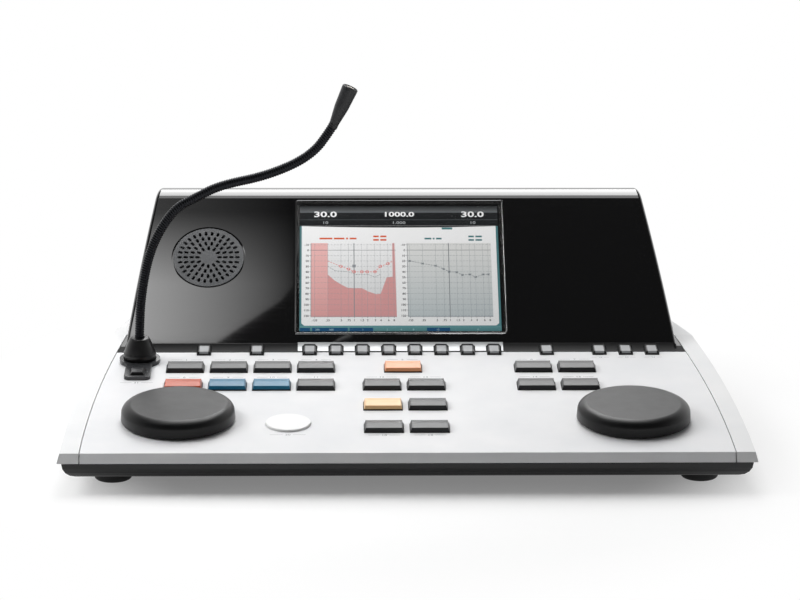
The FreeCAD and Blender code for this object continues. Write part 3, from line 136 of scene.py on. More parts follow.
def ramp(tree, value, start, end, low=0.0, high=1.0, style="LINEAR"):
    """Runs from low to high while a value runs from start to end."""
    return add(tree, "ShaderNodeMapRange", {"Value": value, "From Min": start, "From Max": end,
                                            "To Min": low, "To Max": high},
               interpolation_type=style).outputs[0]


def spread(tree, value, low, high):
    """A pattern's middle values, stretched to run from low to high."""
    return ramp(tree, value, 0.3, 0.7, low, high)


def gloss(tree, shader, pattern, low, high):
    """Roughness that wanders with a pattern."""
    tree.links.new(spread(tree, pattern, low, high), shader.inputs["Roughness"])


def reach(tree, vector, along):
    """How far a vector reaches along a fixed direction."""
    return add(tree, "ShaderNodeVectorMath", {0: vector, 1: along}, operation="DOT_PRODUCT").outputs["Value"]


def height_over(tree, place, frame_matrix, axis):
    """How far a point lies along one axis of a sloped frame, in metres."""
    along = frame_matrix.to_3x3().col[axis]
    return maths(tree, "SUBTRACT", reach(tree, place, along), along.dot(frame_matrix.translation))


def component(tree, vector, axis):
    return add(tree, "ShaderNodeSeparateXYZ", {"Vector": vector}).outputs[axis]


def relief(tree, shader, height, depth, below=None):
    """Bump of a pattern, its depth in millimetres; below is a bump that lies under it."""
    bump = add(tree, "ShaderNodeBump", {"Height": height, "Distance": depth * MM, "Strength": 1.0})
    if below:
        tree.links.new(below, bump.inputs["Normal"])
    tree.links.new(bump.outputs[0], shader.inputs["Normal"])
    return bump.outputs[0]


def tinted(tree, shader, pattern, dark, light):
    """Colour that wanders between two tones with a pattern; light may be a socket."""
    light = linear(light) if isinstance(light, str) else light
    # a colour Mix keeps its colours in sockets 6 and 7, and its result in output 2
    blend = add(tree, "ShaderNodeMix", {"Factor": pattern, 6: linear(dark), 7: light}, data_type="RGBA")
    tree.links.new(blend.outputs[2], shader.inputs["Base Color"])


# ---- materials ----

def grained(name, colour, roughness, size, low=0.0, high=0.0, detail=2.0, stretch=(1, 1, 1), depth=0.0,
            tones=None, **more):
    """A surface ruled by one pattern, size millimetres across: its gloss runs from low to high with
    it, and its relief and its two tones follow it where they are given."""
    material, tree, shader, place = surface(name, colour, roughness, **more)
    pattern = grain(tree, place, size, detail, stretch)
    if high:
        gloss(tree, shader, pattern, low, high)
    if depth:
        relief(tree, shader, pattern, depth)
    if tones:
        tinted(tree, shader, pattern, *tones)
    return material


def spark_eroded(name, dark, light, roughness, size, depth):
    """Moulded ABS from a spark-eroded tool: fine even pebbling that softens its shine, and the
    faint cloudiness that moulding leaves in a plain colour."""
    material, tree, shader, place = surface(name, light, roughness)
    pebble = grain(tree, place, size)
    relief(tree, shader, pebble, depth)
    tinted(tree, shader, spread(tree, grain(tree, place, 35.0, 3.0), 0.0, 1.0), dark, light)
    gloss(tree, shader, pebble, roughness - 0.04, roughness + 0.04)
    return material


def keycap(name, dark, light, foot=0.7):
    """A button in one colour, painted near-black for its lowest foot millimetres over the plate: painted
    shade in the gap where it meets the plate."""
    material = spark_eroded(name, dark, light, 0.36, 0.45, 0.02)
    tree = material.node_tree
    shader = next(node for node in tree.nodes if node.type == "BSDF_PRINCIPLED")
    place = next(node for node in tree.nodes if node.type == "TEX_COORD").outputs["Object"]
    plain = shader.inputs["Base Color"].links[0].from_socket
    # painted shade: below foot millimetres over the plate the button is painted near-black
    over = ramp(tree, height_over(tree, place, PLATE, 2), (foot - 0.05) * MM, (foot + 0.05) * MM)
    tinted(tree, shader, over, "#060607", plain)
    return material


def polished_black_abs():
    """Mirror-polished black ABS under a hard clear lacquer, with the long slow waves of a moulded
    wall and a few hair-fine wiping marks in its gloss. The hollow along its foot is left satin and
    bare, as neither the polishing wheel nor the lacquer reaches into it."""
    material, tree, shader, place = surface("polished_black_abs", "#060607", 0.04, ior=1.62,
                                            Coat_Roughness=0.03)
    relief(tree, shader, grain(tree, place, 90.0, 1.0), 0.05)
    polish = spread(tree, grain(tree, place, 1.2, 3.0, stretch=(18, 1, 1)), 0.03, 0.07)
    satin = ramp(tree, height_over(tree, place, PANEL, 1), 3.9 * MM, 4.5 * MM, 0.5, 0.0)
    for socket, value in (("Roughness", maths(tree, "ADD", polish, satin)),
                          ("Specular IOR Level", ramp(tree, satin, 0.0, 0.5, 0.5, 0.1)),
                          ("Coat Weight", ramp(tree, satin, 0.0, 0.5, 1.0, 0.0))):
        tree.links.new(value, shader.inputs[socket])
    return material


def silver_topped_cap():
    """A button of black ABS, finely spark-eroded, whose flat top is painted silver-grey by which way each
    face points: painted sheen. The painted face is 5 mm wide and stops short of the button's rear end."""
    material, tree, shader, place = surface("silver_topped_cap", "#8C8E90", 0.4)
    pebble = grain(tree, place, 0.4)
    relief(tree, shader, pebble, 0.012)
    facing = add(tree, "ShaderNodeTexCoord").outputs["Normal"]
    top = maths(tree, "GREATER_THAN", reach(tree, facing, PLATE.to_3x3().col[2]), 0.6)
    # the buttons stand half a step from the middle, where this zigzag is highest
    steps = maths(tree, "DIVIDE", component(tree, place, "X"), KEY_PITCH * MM)
    inside = maths(tree, "GREATER_THAN", maths(tree, "PINGPONG", steps, 0.5), 0.5 - 2.5 / KEY_PITCH)
    ahead = maths(tree, "LESS_THAN", height_over(tree, place, PLATE, 1), 156.7 * MM)
    # painted sheen: faces turned up from the plate, in the middle 5 mm and short of the rear end, are
    # painted silver-grey; the rest stays near-black
    face = maths(tree, "MULTIPLY", maths(tree, "MULTIPLY", top, inside), ahead)
    tinted(tree, shader, face, "#0C0D0E", "#8E9092")
    gloss(tree, shader, pebble, 0.34, 0.46)
    return material


def lit_pixels():
    """A backlit colour panel: it shines by itself through a grid of dots. Real dots are 0.18 mm
    apart; these are 0.36 mm so that the grid shows. The light falls off towards the right, as such
    a panel does off its axis."""
    material, tree, shader, place = surface("lit_pixels", "#101214", 0.12)
    ink = add(tree, "ShaderNodeAttribute", attribute_name="ink").outputs["Color"]
    fall = ramp(tree, component(tree, place, "X"), -0.05, 0.06, 1.03, 0.85)
    dots = add(tree, "ShaderNodeTexWave", {"Vector": place, "Scale": math.pi / (0.36 * MM) / 10},
               bands_direction="X").outputs["Fac"]
    level = maths(tree, "MULTIPLY", fall, ramp(tree, dots, 0.0, 1.0, 0.94, 1.02))
    tree.links.new(ink, shader.inputs["Emission Color"])
    tree.links.new(level, shader.inputs["Emission Strength"])
    return material


def powder_coat(name, dark, light, size=0.5):
    """Powder-coated sheet steel: tiny orange-peel dimples and a soft low shine."""
    material, tree, shader, place = surface(name, light, 0.42)
    peel = grain(tree, place, size, 1.0)
    relief(tree, shader, peel, 0.03)
    tinted(tree, shader, spread(tree, grain(tree, place, 12.0), 0.0, 1.0), dark, light)
    return material


def soft_touch():
    """Rubber-like paint on a knob: nearly black, silky, brighter at a glancing view, with very
    fine even grain."""
    material, tree, shader, place = surface("soft_touch_paint", "#0C0C0D", 0.34, Specular_IOR_Level=0.3,
                                            Sheen_Weight=0.14, Sheen_Roughness=0.4)
    relief(tree, shader, grain(tree, place, 0.35), 0.012)
    handled = grain(tree, place, 9.0, 3.0)
    gloss(tree, shader, handled, 0.31, 0.38)
    tinted(tree, shader, handled, "#080809", "#0F0F10")
    return material


def rubber(name, tone_dark="#040405", tone_light="#0A0A0B", roughness=0.62):
    """Moulded rubber: dark and dull, with a fine matt skin and a little bloom."""
    material, tree, shader, place = surface(name, tone_light, roughness)
    skin = grain(tree, place, 0.4, 2.0)
    relief(tree, shader, skin, 0.02)
    tinted(tree, shader, spread(tree, grain(tree, place, 6.0, 3.0), 0.0, 1.0),
           tone_dark, tone_light)
    return material


def glass_epoxy():
    """Circuit board: green solder mask over copper tracks, which show as slightly raised lighter
    lanes, 1.3 mm apart."""
    material, tree, shader, place = surface("glass_epoxy_board", "#0E4A2A", 0.3)
    lanes = add(tree, "ShaderNodeTexBrick", {"Vector": place, "Scale": 1 / (5.2 * MM), "Mortar Size": 0.06},
                offset=0.37).outputs["Fac"]
    relief(tree, shader, lanes, 0.03)
    tinted(tree, shader, lanes, "#0C4326", "#1B6B3E")
    return material


CAPS = {
    "grey_cap": ("#1D1E20", "#292A2C"),
    "blue_cap": ("#086486", "#0D7396"),
    "red_cap": ("#B84416", "#C4501D"),
    "orange_cap": ("#F0A070", "#F8AE80"),
    "cream_cap": ("#F0C088", "#F6CE9A"),
}
cap_finish = {name: keycap(name, *tones) for name, tones in CAPS.items()}
cap_finish["white_cap"] = spark_eroded("white_cap", "#ECECEC", "#F2F2F1", 0.42, 0.4, 0.01)
white_shell = spark_eroded("satin_white_abs", "#DEDFE1", "#E6E6E7", 0.5, 0.5, 0.015)
white_rail = spark_eroded("satin_white_rail", "#DFE0E1", "#E6E6E6", 0.46, 0.5, 0.012)
hood_black = polished_black_abs()
case_black = spark_eroded("textured_black_abs", "#0B0C0D", "#101113", 0.5, 0.8, 0.05)
dark_moulding = spark_eroded("dark_grey_moulding", "#323335", "#3E3F41", 0.22, 0.6, 0.01)
black_nylon = spark_eroded("black_nylon", "#101011", "#19191A", 0.45, 0.5, 0.02)
grille_steel = powder_coat("powder_coated_grille", "#545658", "#626365")
head_steel = powder_coat("powder_coated_head", "#17181A", "#222326", 0.4)
# wound steel wire, blackened and oiled: dark metal whose raised turns are rubbed bright
neck_steel = grained("black_oxide_steel", "#26272A", 0.34, 1.5, 0.26, 0.44, 3.0,
                     tones=("#16171A", "#2F3034"), metallic=0.85)
# bright nickel on steel or brass: a warm grey mirror with faint turning marks
nickel = grained("nickel_plate", "#B9B4AC", 0.25, 0.3, 0.18, 0.34, stretch=(1, 1, 12), metallic=1.0)
# a pale mirror-metal bead, laid only where a catch-light shows on the pane's edge: a painted highlight
highlight_bead_metal = grained("painted_highlight_metal", "#E2E3E4", 0.12, 0.2, 0.08, 0.2, stretch=(30, 1, 1), metallic=1.0)
# satin silver film laid across just the screen's width in the hollow under it: a painted reflection of the
# lit screen
screen_reflection_film = grained("screen_reflection_film", "#BEC0C1", 0.34, 0.3, 0.28, 0.4, depth=0.006,
                      tones=("#B6B8B9", "#C5C7C8"), metallic=0.25)
# cast acrylic pane: clear, hard and flat, so that it only adds a clean reflection
acrylic = grained("clear_acrylic", "#FFFFFF", 0.02, 8.0, 0.0, 0.03, ior=1.49, Transmission_Weight=1.0)
# the dead border of a display and its tin case: smooth, dark and slightly blue
display_glass = grained("lcd_module_glass", "#0A0C0F", 0.12, 20.0, 0.09, 0.16)
# felted paper cone and black basket of a loudspeaker: dull, with matted fibres
paper = grained("pressed_paper", "#151515", 0.85, 0.6, detail=4.0, stretch=(4, 1, 1), depth=0.08,
                tones=("#0D0D0D", "#222120"))
# screen-printed ink: flat and slightly duller than the plastic under it
mark_ink = grained("grey_marks", "#7C7F82", 0.55, 0.5, 0.5, 0.62)
pale_ink = grained("pale_marks", "#C9CBCD", 0.55, 0.5, 0.5, 0.62)
foot_rubber = rubber("foot_rubber")
boot_rubber = rubber("boot_rubber", "#141415", "#212122", 0.3)
dial_paint = soft_touch()
board = glass_epoxy()
# black anodised aluminium, brushed along its length before dyeing: fine straight streaks
anodised = grained("brushed_anodised", "#2A2B2D", 0.4, 0.25, 0.32, 0.5, 3.0, (60, 1, 1), 0.01,
                   ("#212224", "#343538"), metallic=0.6)
pixels = lit_pixels()
painted_sheen_cap = silver_topped_cap()

NODE_FINISH = {
    "control_plate": white_shell, "side_trims": white_rail, "display_hood": hood_black,
    "display_window": acrylic, "lcd_module": display_glass, "speaker_grille": grille_steel,
    "loudspeaker": paper, "left_dial": dial_paint, "right_dial": dial_paint,
    "dial_encoders": nickel, "key_switches": black_nylon, "key_board": board, "main_board": board,
    "mic_socket": dark_moulding, "mic_boot": boot_rubber, "gooseneck_lower": neck_steel,
    "gooseneck_upper": neck_steel, "mic_head": head_steel, "bottom_case": case_black,
    "rubber_feet": foot_rubber, "case_screws": nickel, "rear_panel": anodised,
    # the talk button is painted near-black for its lowest 3 mm, as painted shade in its recess
    "talk_key": keycap("talk_cap", "#2C2D2F", "#38393B", 3.0), "rear_jacks": black_nylon,
    "power_inlet": black_nylon, "power_rocker": black_nylon,
}
for subpart in frame["record"]["subparts"]:
    node = frame["nodes"][subpart["node"]]
    finish = NODE_FINISH.get(subpart["node"]) or cap_finish[subpart["material_slot"]]
    # the small buttons take the cap whose top is painted silver-grey as painted sheen
    if subpart["node"].startswith("small_key"):
        finish = painted_sheen_cap
    node.data.materials.clear()
    node.data.materials.append(finish)


# ---- pieces ----

def placed(name, data):
    """A new object in the scene."""
    made = bpy.data.objects.new(name, data)
    bpy.context.scene.collection.objects.link(made)
    return made


def real_mesh(holder):
    """The mesh that an object shows once its curve or modifiers are worked out."""
    return bpy.data.meshes.new_from_object(holder.evaluated_get(bpy.context.evaluated_depsgraph_get()))


def piece(name, mesh, body, finish):
    """A finished mesh as an object that rides on a CAD body."""
    made = placed(name, mesh)
    mesh.materials.clear()
    mesh.materials.append(finish)
    if body:
        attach(made, body)
    return made


def spun(profile, steps=96):
    """A closed solid of revolution about z; profile runs from the axis round to the axis again."""
    made = bmesh.new()
    ring = [made.verts.new(mm(radius, 0, height)) for radius, height in profile]
    edges = [made.edges.new(pair) for pair in zip(ring, ring[1:])]
    bmesh.ops.spin(made, geom=ring + edges, cent=(0, 0, 0), axis=(0, 0, 1), angle=math.tau, steps=steps,
                   use_merge=True)
    bmesh.ops.remove_doubles(made, verts=made.verts, dist=1e-6)
    bmesh.ops.recalc_face_normals(made, faces=made.faces)
    for face in made.faces:
        face.smooth = True
    return made


def to_mesh(made, name, places=(Matrix(),)):
    """One mesh that holds a copy of the bmesh at each place."""
    gathered = bmesh.new()
    for place in places:
        copy = bpy.data.meshes.new("copy")
        made.to_mesh(copy)
        copy.transform(place)
        gathered.from_mesh(copy)
        bpy.data.meshes.remove(copy)
    mesh = bpy.data.meshes.new(name)
    gathered.to_mesh(mesh)
    gathered.free()
    made.free()
    return mesh


def rounded_profile(points, rounds, steps=6):
    """The points with an arc in place of each corner whose round is not zero."""
    out = []
    for index, (point, size) in enumerate(zip(points, rounds)):
        here = Vector(point)
        if not size:
            out.append(tuple(here))
            continue
        before = (Vector(points[index - 1]) - here).normalized()
        after = (Vector(points[(index + 1) % len(points)]) - here).normalized()
        half = before.angle(after) / 2
        reach = size / math.tan(half)
        start, end = here + before * reach, here + after * reach
        for step in range(steps + 1):
            t = step / steps
            # a quadratic through the corner lies close to the arc
            out.append(tuple(start * (1 - t) ** 2 + here * 2 * t * (1 - t) + end * t ** 2))
    return out


# ---- printing: flat shapes laid on a surface, each with its own colour ----

class Print:
    """Flat faces gathered in one mesh; higher layers lie over lower ones."""

    def __init__(self, place, base, step=0.012):
        self.place, self.base, self.step = place, base, step
        self.points, self.faces, self.inks = [], [], []

    def shape(self, corners, inks, layer=0):
        """A polygon; inks is one colour, or one for each corner."""
        inks = [inks] * len(corners) if isinstance(inks, str) else inks
        start = len(self.points)
        height = self.base + layer * self.step
        self.points += [self.place @ mm(x, y, height) for x, y in corners]
        self.faces.append(range(start, start + len(corners)))
        self.inks += [linear(ink) for ink in inks]

    def box(self, left, right, low, high, inks, layer=0):
        """A rectangle; two inks run from its foot to its top."""
        if not isinstance(inks, str):
            inks = [inks[0], inks[0], inks[1], inks[1]]
        self.shape([(left, low), (right, low), (right, high), (left, high)], inks, layer)

    def line(self, points, width, ink, layer=0, dash=None):
        """A thin line through points, whole or in dashes."""
        for start, end in zip(points, points[1:]):
            start, end = Vector(start), Vector(end)
            along = (end - start).normalized()
            side = Vector((-along.y, along.x)) * width / 2
            length = (end - start).length
            pieces = [(0, length)]
            if dash:
                starts = [step * dash for step in range(int(length / dash) + 1)]
                pieces = [(near, min(near + 0.6 * dash, length)) for near in starts]
            for near, far in pieces:
                if far > near:
                    a, b = start + along * near, start + along * far
                    self.shape([a - side, b - side, b + side, a + side], ink, layer)

    def ring(self, centre, radius, width, ink, layer=0, count=12):
        around = [(math.cos(math.tau * i / count), math.sin(math.tau * i / count)) for i in range(count + 1)]
        for (ax, ay), (bx, by) in zip(around, around[1:]):
            near, far = radius - width / 2, radius + width / 2
            self.shape([(centre[0] + x * r, centre[1] + y * r) for x, y, r in
                        ((ax, ay, near), (ax, ay, far), (bx, by, far), (bx, by, near))], ink, layer)

    def words(self, text, x, y, size, ink, layer=0, align="CENTER", wide=1.0, weight=0.0):
        """Plain figures, size millimetres high, stretched to wide times their width."""
        curve = bpy.data.curves.new("figures", "FONT")
        curve.body, curve.size, curve.align_x, curve.offset = text, size / 0.73, align, weight
        curve.resolution_u = 3
        holder = placed("figures", curve)
        mesh = real_mesh(holder)
        for face in mesh.polygons:
            corners = [mesh.vertices[i].co for i in face.vertices]
            self.shape([(x + c.x * wide, y - size / 2 + c.y) for c in corners], ink, layer)
        bpy.data.meshes.remove(mesh)
        bpy.data.objects.remove(holder)
        bpy.data.curves.remove(curve)

    def mesh(self, name):
        made = bpy.data.meshes.new(name)
        made.from_pydata(self.points, [], self.faces)
        ink = made.attributes.new("ink", "FLOAT_COLOR", "POINT")
        ink.data.foreach_set("color", [channel for colour in self.inks for channel in colour])
        return made


# The screen: a dark header with three values, two charts side by side and a status bar.
SCREEN_LEFT, SCREEN_RIGHT, SCREEN_LOW, SCREEN_HIGH = -58.3, 57.5, 12.3, 101.4
HEADER_LOW, STATUS_HIGH = 87.0, 17.2
CHART_HIGH, CHART_LOW, ZERO_LEVEL = 74.8, 23.2, 69.8
OCTAVE, TEN_DECIBELS = 7.62, 3.82
PITCHES = (0.125, 0.25, 0.5, 0.75, 1, 1.5, 2, 3, 4, 6, 8)


def draw_header(screen):
    low, high = HEADER_LOW, SCREEN_HIGH
    screen.box(SCREEN_LEFT, SCREEN_RIGHT, low, high, "#181A1C", 1)
    screen.box(SCREEN_LEFT, SCREEN_RIGHT, 97.2, high, ("#5E6163", "#181A1C"), 2)
    screen.box(SCREEN_LEFT, SCREEN_RIGHT, 96.6, 97.2, ("#4A4D4F", "#72767A"), 2)
    screen.line([(SCREEN_LEFT, 91.5), (SCREEN_RIGHT, 91.5)], 0.3, "#54585A", 2)
    # the header's lower edge sags in a shallow curve
    sag = [(x, low - 1.1 * (1 - (x / 57.9) ** 2)) for x in range(-57, 58, 6)]
    screen.shape([(sag[0][0], low + 0.1), *sag, (sag[-1][0], low + 0.1)], "#181A1C", 2)
    for x, value, size in ((-43.5, "30.0", 4.0), (-0.5, "1000.0", 3.4), (42.8, "30.0", 4.0)):
        screen.words(value, x, 95.6, size, "#F8F8F8", 3, wide=1.45, weight=0.12)
    for x, value in ((-43.5, "10"), (-0.5, "1.000"), (42.8, "10")):
        screen.words(value, x, 89.5, 1.9, "#B9BDBF", 3, wide=1.4)


def at(one, pitch, level):
    """Where a pitch in kilohertz and a level in decibels lie on the chart."""
    return one + OCTAVE * math.log2(pitch), ZERO_LEVEL - level * TEN_DECIBELS / 10


def draw_chart(screen, one, left, right, tones, grid):
    """Ground, grid and plain scales of one chart; one is the place of 1 kHz."""
    screen.box(left, right, CHART_LOW, CHART_HIGH, tones, 2)
    for pitch in PITCHES:
        x = at(one, pitch, 0)[0]
        wide = 0.5 if pitch == 1 else 0.2
        screen.line([(x, CHART_LOW), (x, CHART_HIGH)], wide, "#84888B" if pitch == 1 else grid, 4,
                    None if pitch == 1 else 1.4)
        screen.words(f"{pitch:g}".lstrip("0") or "0", x, CHART_LOW - 2.3, 1.4, "#1E2123", 3, weight=0.04)
        screen.line([(x, CHART_LOW - 0.9), (x, CHART_LOW)], 0.2, "#54585A", 3)
    for level in range(-10, 121, 10):
        y = at(one, 1, level)[1]
        screen.line([(left, y), (right, y)], 0.3 if level == 0 else 0.2,
                    "#6C7074" if level == 0 else grid, 4, None if level == 0 else 1.9)
        screen.words(str(level), left - 1.2, y, 1.45, "#1E2123", 3, "RIGHT", weight=0.04)
        screen.line([(left - 0.9, y), (left, y)], 0.2, "#54585A", 3)
    screen.line([(left, CHART_HIGH), (left, CHART_LOW), (right, CHART_LOW)], 0.3, "#7C8084", 4)


def caption(screen, x, y, ink, lengths):
    """A row of short bars in place of words."""
    for length in lengths:
        screen.box(x, x + length, y - 0.7, y + 0.5, ink, 3)
        x += length + 0.9


def draw_screen():
    screen = Print(PANEL, -2.12)
    screen.box(SCREEN_LEFT, SCREEN_RIGHT, SCREEN_LOW, SCREEN_HIGH, "#4A7A7E", 0)
    # white page with cut corners, a little darker towards its foot
    left, right, low, high, corner = -57.2, 56.2, STATUS_HIGH, HEADER_LOW + 0.2, 1.6
    screen.shape([(left + corner, low), (right - corner, low), (right, low + corner), (right, high),
                  (left, high), (left, low + corner)],
                 ["#DCDDDD", "#DCDDDD", "#DCDDDD", "#F6F6F6", "#F6F6F6", "#DCDDDD"], 1)
    draw_header(screen)
    screen.box(24.6, 30.8, 84.5, 86.0, "#4A7A7E", 3)

    one = -26.8
    draw_chart(screen, one, -51.8, -2.4, ("#BFC1C2", "#EFEFEF"), "#8D9194")
    caption(screen, -46.9, 78.2, "#D8603C", (7.5, 6.2, 1.2, 4.0))
    caption(screen, -15.5, 79.7, "#D8603C", (3.2, 3.6))
    caption(screen, -15.5, 77.2, "#D8603C", (3.2, 3.6))
    # pink ground under a stepped boundary, with full-height columns at both ends
    bound = [at(one, pitch, level) for pitch, level in (
        (0.25, 45), (0.36, 56), (0.5, 63), (0.7, 69), (1, 70), (1.5, 70), (2.1, 76), (3.2, 81), (4, 80),
        (5.6, 50), (7.6, 49))]
    first, last = bound[0][0], bound[-1][0]
    for start, end in zip(bound, bound[1:]):
        screen.shape([(start[0], CHART_LOW), (end[0], CHART_LOW), end, start],
                     ["#C48E8E", "#C48E8E", "#D09896", "#D09896"], 3)
    screen.shape([(-51.8, CHART_LOW), (first, CHART_LOW), (first, CHART_HIGH), (-51.8, CHART_HIGH)],
                 ["#C99391", "#C99391", "#EBB8B5", "#EBB8B5"], 3)
    screen.shape([(last, CHART_LOW), (-2.4, CHART_LOW), (-3.2, CHART_HIGH), (last, CHART_HIGH)],
                 ["#C48E8E", "#C48E8E", "#D9A09E", "#D9A09E"], 3)
    heard = [at(one, pitch, level) for pitch, level in (
        (0.25, 20), (0.5, 30), (0.75, 35), (1, 40), (1.5, 40), (2, 40), (3, 40), (4, 30), (6, 25),
        (7.8, 20))]
    screen.line(heard, 0.38, "#D86058", 5, 1.7)
    for place in heard[1:-1]:
        screen.ring(place, 0.85, 0.34, "#D86058", 5)
    bone = [at(one, pitch, level) for pitch, level in (
        (0.25, 30), (0.37, 38), (0.75, 40), (1.1, 45), (2.1, 45), (3, 50), (4.1, 44))]
    screen.line(bone, 0.3, "#6E7478", 5, 1.5)
    screen.box(one - 1.0, one + 1.0, 57.6, 59.6, "#8E9296", 5)

    one = 28.3
    draw_chart(screen, one, 4.2, 53.0, ("#AEB6B8", "#DEDEDC"), "#7F888C")
    caption(screen, 14.4, 78.1, "#4A7A7E", (4.0, 1.0, 3.2))
    caption(screen, 40.1, 79.6, "#4A7A7E", (3.2, 3.8))
    caption(screen, 40.1, 77.1, "#4A7A7E", (3.2, 3.8))
    heard = [at(one, pitch, level) for pitch, level in (
        (0.125, 20), (0.25, 25), (0.5, 29), (0.75, 35), (1, 40), (1.5, 41), (2, 46), (3, 45), (4, 50),
        (6, 45), (8, 45))]
    screen.line(heard, 0.34, "#5A646A", 5, 1.6)
    for x, y in heard:
        for rise in (-0.7, 0.7):
            screen.line([(x - 0.7, y - rise), (x + 0.7, y + rise)], 0.3, "#5A646A", 5)

    # status bar with dark fields
    screen.box(SCREEN_LEFT, SCREEN_RIGHT, SCREEN_LOW, STATUS_HIGH - 0.3, ("#3F6A6E", "#5A8A8D"), 1)
    for left, right in ((-58.0, -52.2), (-51.0, -30.6), (-29.6, -16.1), (14.7, 28.0)):
        screen.box(left, right, 13.2, 15.7, "#17466A", 2)
    for x, value in ((-48, "250"), (-40, "500"), (-22, "1"), (-8, "2"), (0, "4"), (7, "8"), (21, "12"),
                     (44, "0")):
        screen.words(value, x, 14.5, 1.2, "#9FC0C2", 3)
    piece("screen_picture", screen.mesh("screen_picture"), "base", pixels)


draw_screen()


# Marks printed on the plate: a plain number between two thin lines beside each button.
# Each row has its run, how far its marks stand beside the buttons, and its columns.
ROWS = ((125.2, 14.4, (-5, -4, -3, -2, 0, 3, 4)), (97.3, 14.4, (-5, -4, -3, -2, -0.5, 0.5, 3, 4)),
        (67.1, 9.2, (-0.5, 0.5)), (34.5, -9.8, (-0.5, 0.5)))


def mark(sheet, number, x, run, half=8.5, size=2.2):
    sheet.words(str(number), x, run, size, "#7C7F82")
    for side in (-1, 1):
        sheet.line([(x + side * (size + 0.4), run), (x + side * half, run)], 0.28, "#7C7F82")


def draw_marks():
    marks = Print(PLATE, 0.02)
    number = 0
    for run, beside, places in ROWS:
        for place in places:
            number += 1
            mark(marks, number, place * GRID, run + beside)
    mark(marks, 20, -63.0, 41.3 - 15.6, 9.5)
    mark(marks, 21, MIC_X, 103.6, 9.0)
    for place in (7.5, 8.5, 9.5):
        mark(marks, f"{place + 14.5:g}", place * KEY_PITCH, 142.8, 5.0, 1.6)
    piece("printed_marks", marks.mesh("printed_marks"), "base", mark_ink)

    rear = Print(REAR_FACE, 0.02)
    for n in range(JACKS):
        rear.words(str(JACKS - n), -7 + JACK_PITCH * n, 11.6, 2.6, "#C9CBCD")
    rear.line([(-116, -13.2), (116, -13.2)], 0.3, "#C9CBCD")
    piece("rear_marks", rear.mesh("rear_marks"), "base", pale_ink)


draw_marks()


# ---- what repeats, made with geometry nodes ----

def tree_with(name, sockets):
    """A geometry tree with its named inputs, and the nodes at its two ends."""
    tree = bpy.data.node_groups.new(name, "GeometryNodeTree")
    tree.interface.new_socket("Geometry", in_out="INPUT", socket_type="NodeSocketGeometry")
    for label, kind in sockets:
        tree.interface.new_socket(label, in_out="INPUT", socket_type=kind)
    tree.interface.new_socket("Geometry", in_out="OUTPUT", socket_type="NodeSocketGeometry")
    return tree, add(tree, "NodeGroupInput").outputs


def close_tree(tree, geometry, finish):
    """Realized and given its material, as each tree ends."""
    whole = add(tree, "GeometryNodeRealizeInstances", {"Geometry": geometry})
    painted = add(tree, "GeometryNodeSetMaterial", {"Geometry": whole.outputs[0], "Material": finish})
    add(tree, "NodeGroupOutput", {"Geometry": painted.outputs[0]})


def grown(name, mesh, tree, values):
    """The mesh that a tree makes from a host mesh and its input values."""
    host = placed(name, mesh)
    modifier = host.modifiers.new(name, "NODES")
    modifier.node_group = tree
    for item in tree.interface.items_tree:
        if item.in_out == "INPUT" and item.name in values:
            modifier[item.identifier] = values[item.name]
    made = real_mesh(host)
    made.name = name
    host.modifiers.remove(modifier)
    bpy.data.objects.remove(host)
    return made


def points_mesh(name, points, joined=False):
    mesh = bpy.data.meshes.new(name)
    edges = [(i, i + 1) for i in range(len(points) - 1)] if joined else []
    mesh.from_pydata(points, edges, [])
    return mesh


# The neck's centre line from inside the boot to the foot of the head, across and up from the first
# bend; the bends of the frame lie at NECK_MIDDLE and NECK_TOP.
NECK_FOOT = Vector((-0.1475, -0.010894, 0.051085))
NECK_ROUTE = ((-0.1, -5.0), (0.0, 0.0), (1.2, 22.0), (7.0, 50.0), (20.0, 71.5), (33.0, 78.2), (46.0, 84.9),
              (73.0, 90.5), (96.8, 101.5), (108.1, 117.1), (109.4, 120.0))
NECK_MIDDLE = NECK_FOOT + mm(33.0, 0, 78.2)
NECK_TOP = NECK_FOOT + mm(108.1, 0, 117.1)


def neck_line():
    """Points along the smooth centre line, and the length up to each."""
    curve = bpy.data.curves.new("neck_line", "CURVE")
    curve.dimensions = "3D"
    spline = curve.splines.new("NURBS")
    spline.points.add(len(NECK_ROUTE) - 1)
    for point, (across, up) in zip(spline.points, NECK_ROUTE):
        point.co = (*(NECK_FOOT + mm(across, 0, up)), 1)
    spline.order_u = 3
    spline.use_endpoint_u = True
    spline.resolution_u = 12
    holder = placed("neck_line", curve)
    mesh = real_mesh(holder)
    points = [vertex.co.copy() for vertex in mesh.vertices]
    bpy.data.objects.remove(holder)
    bpy.data.meshes.remove(mesh)
    lengths = [0.0]
    for before, after in zip(points, points[1:]):
        lengths.append(lengths[-1] + (after - before).length)
    return points, lengths


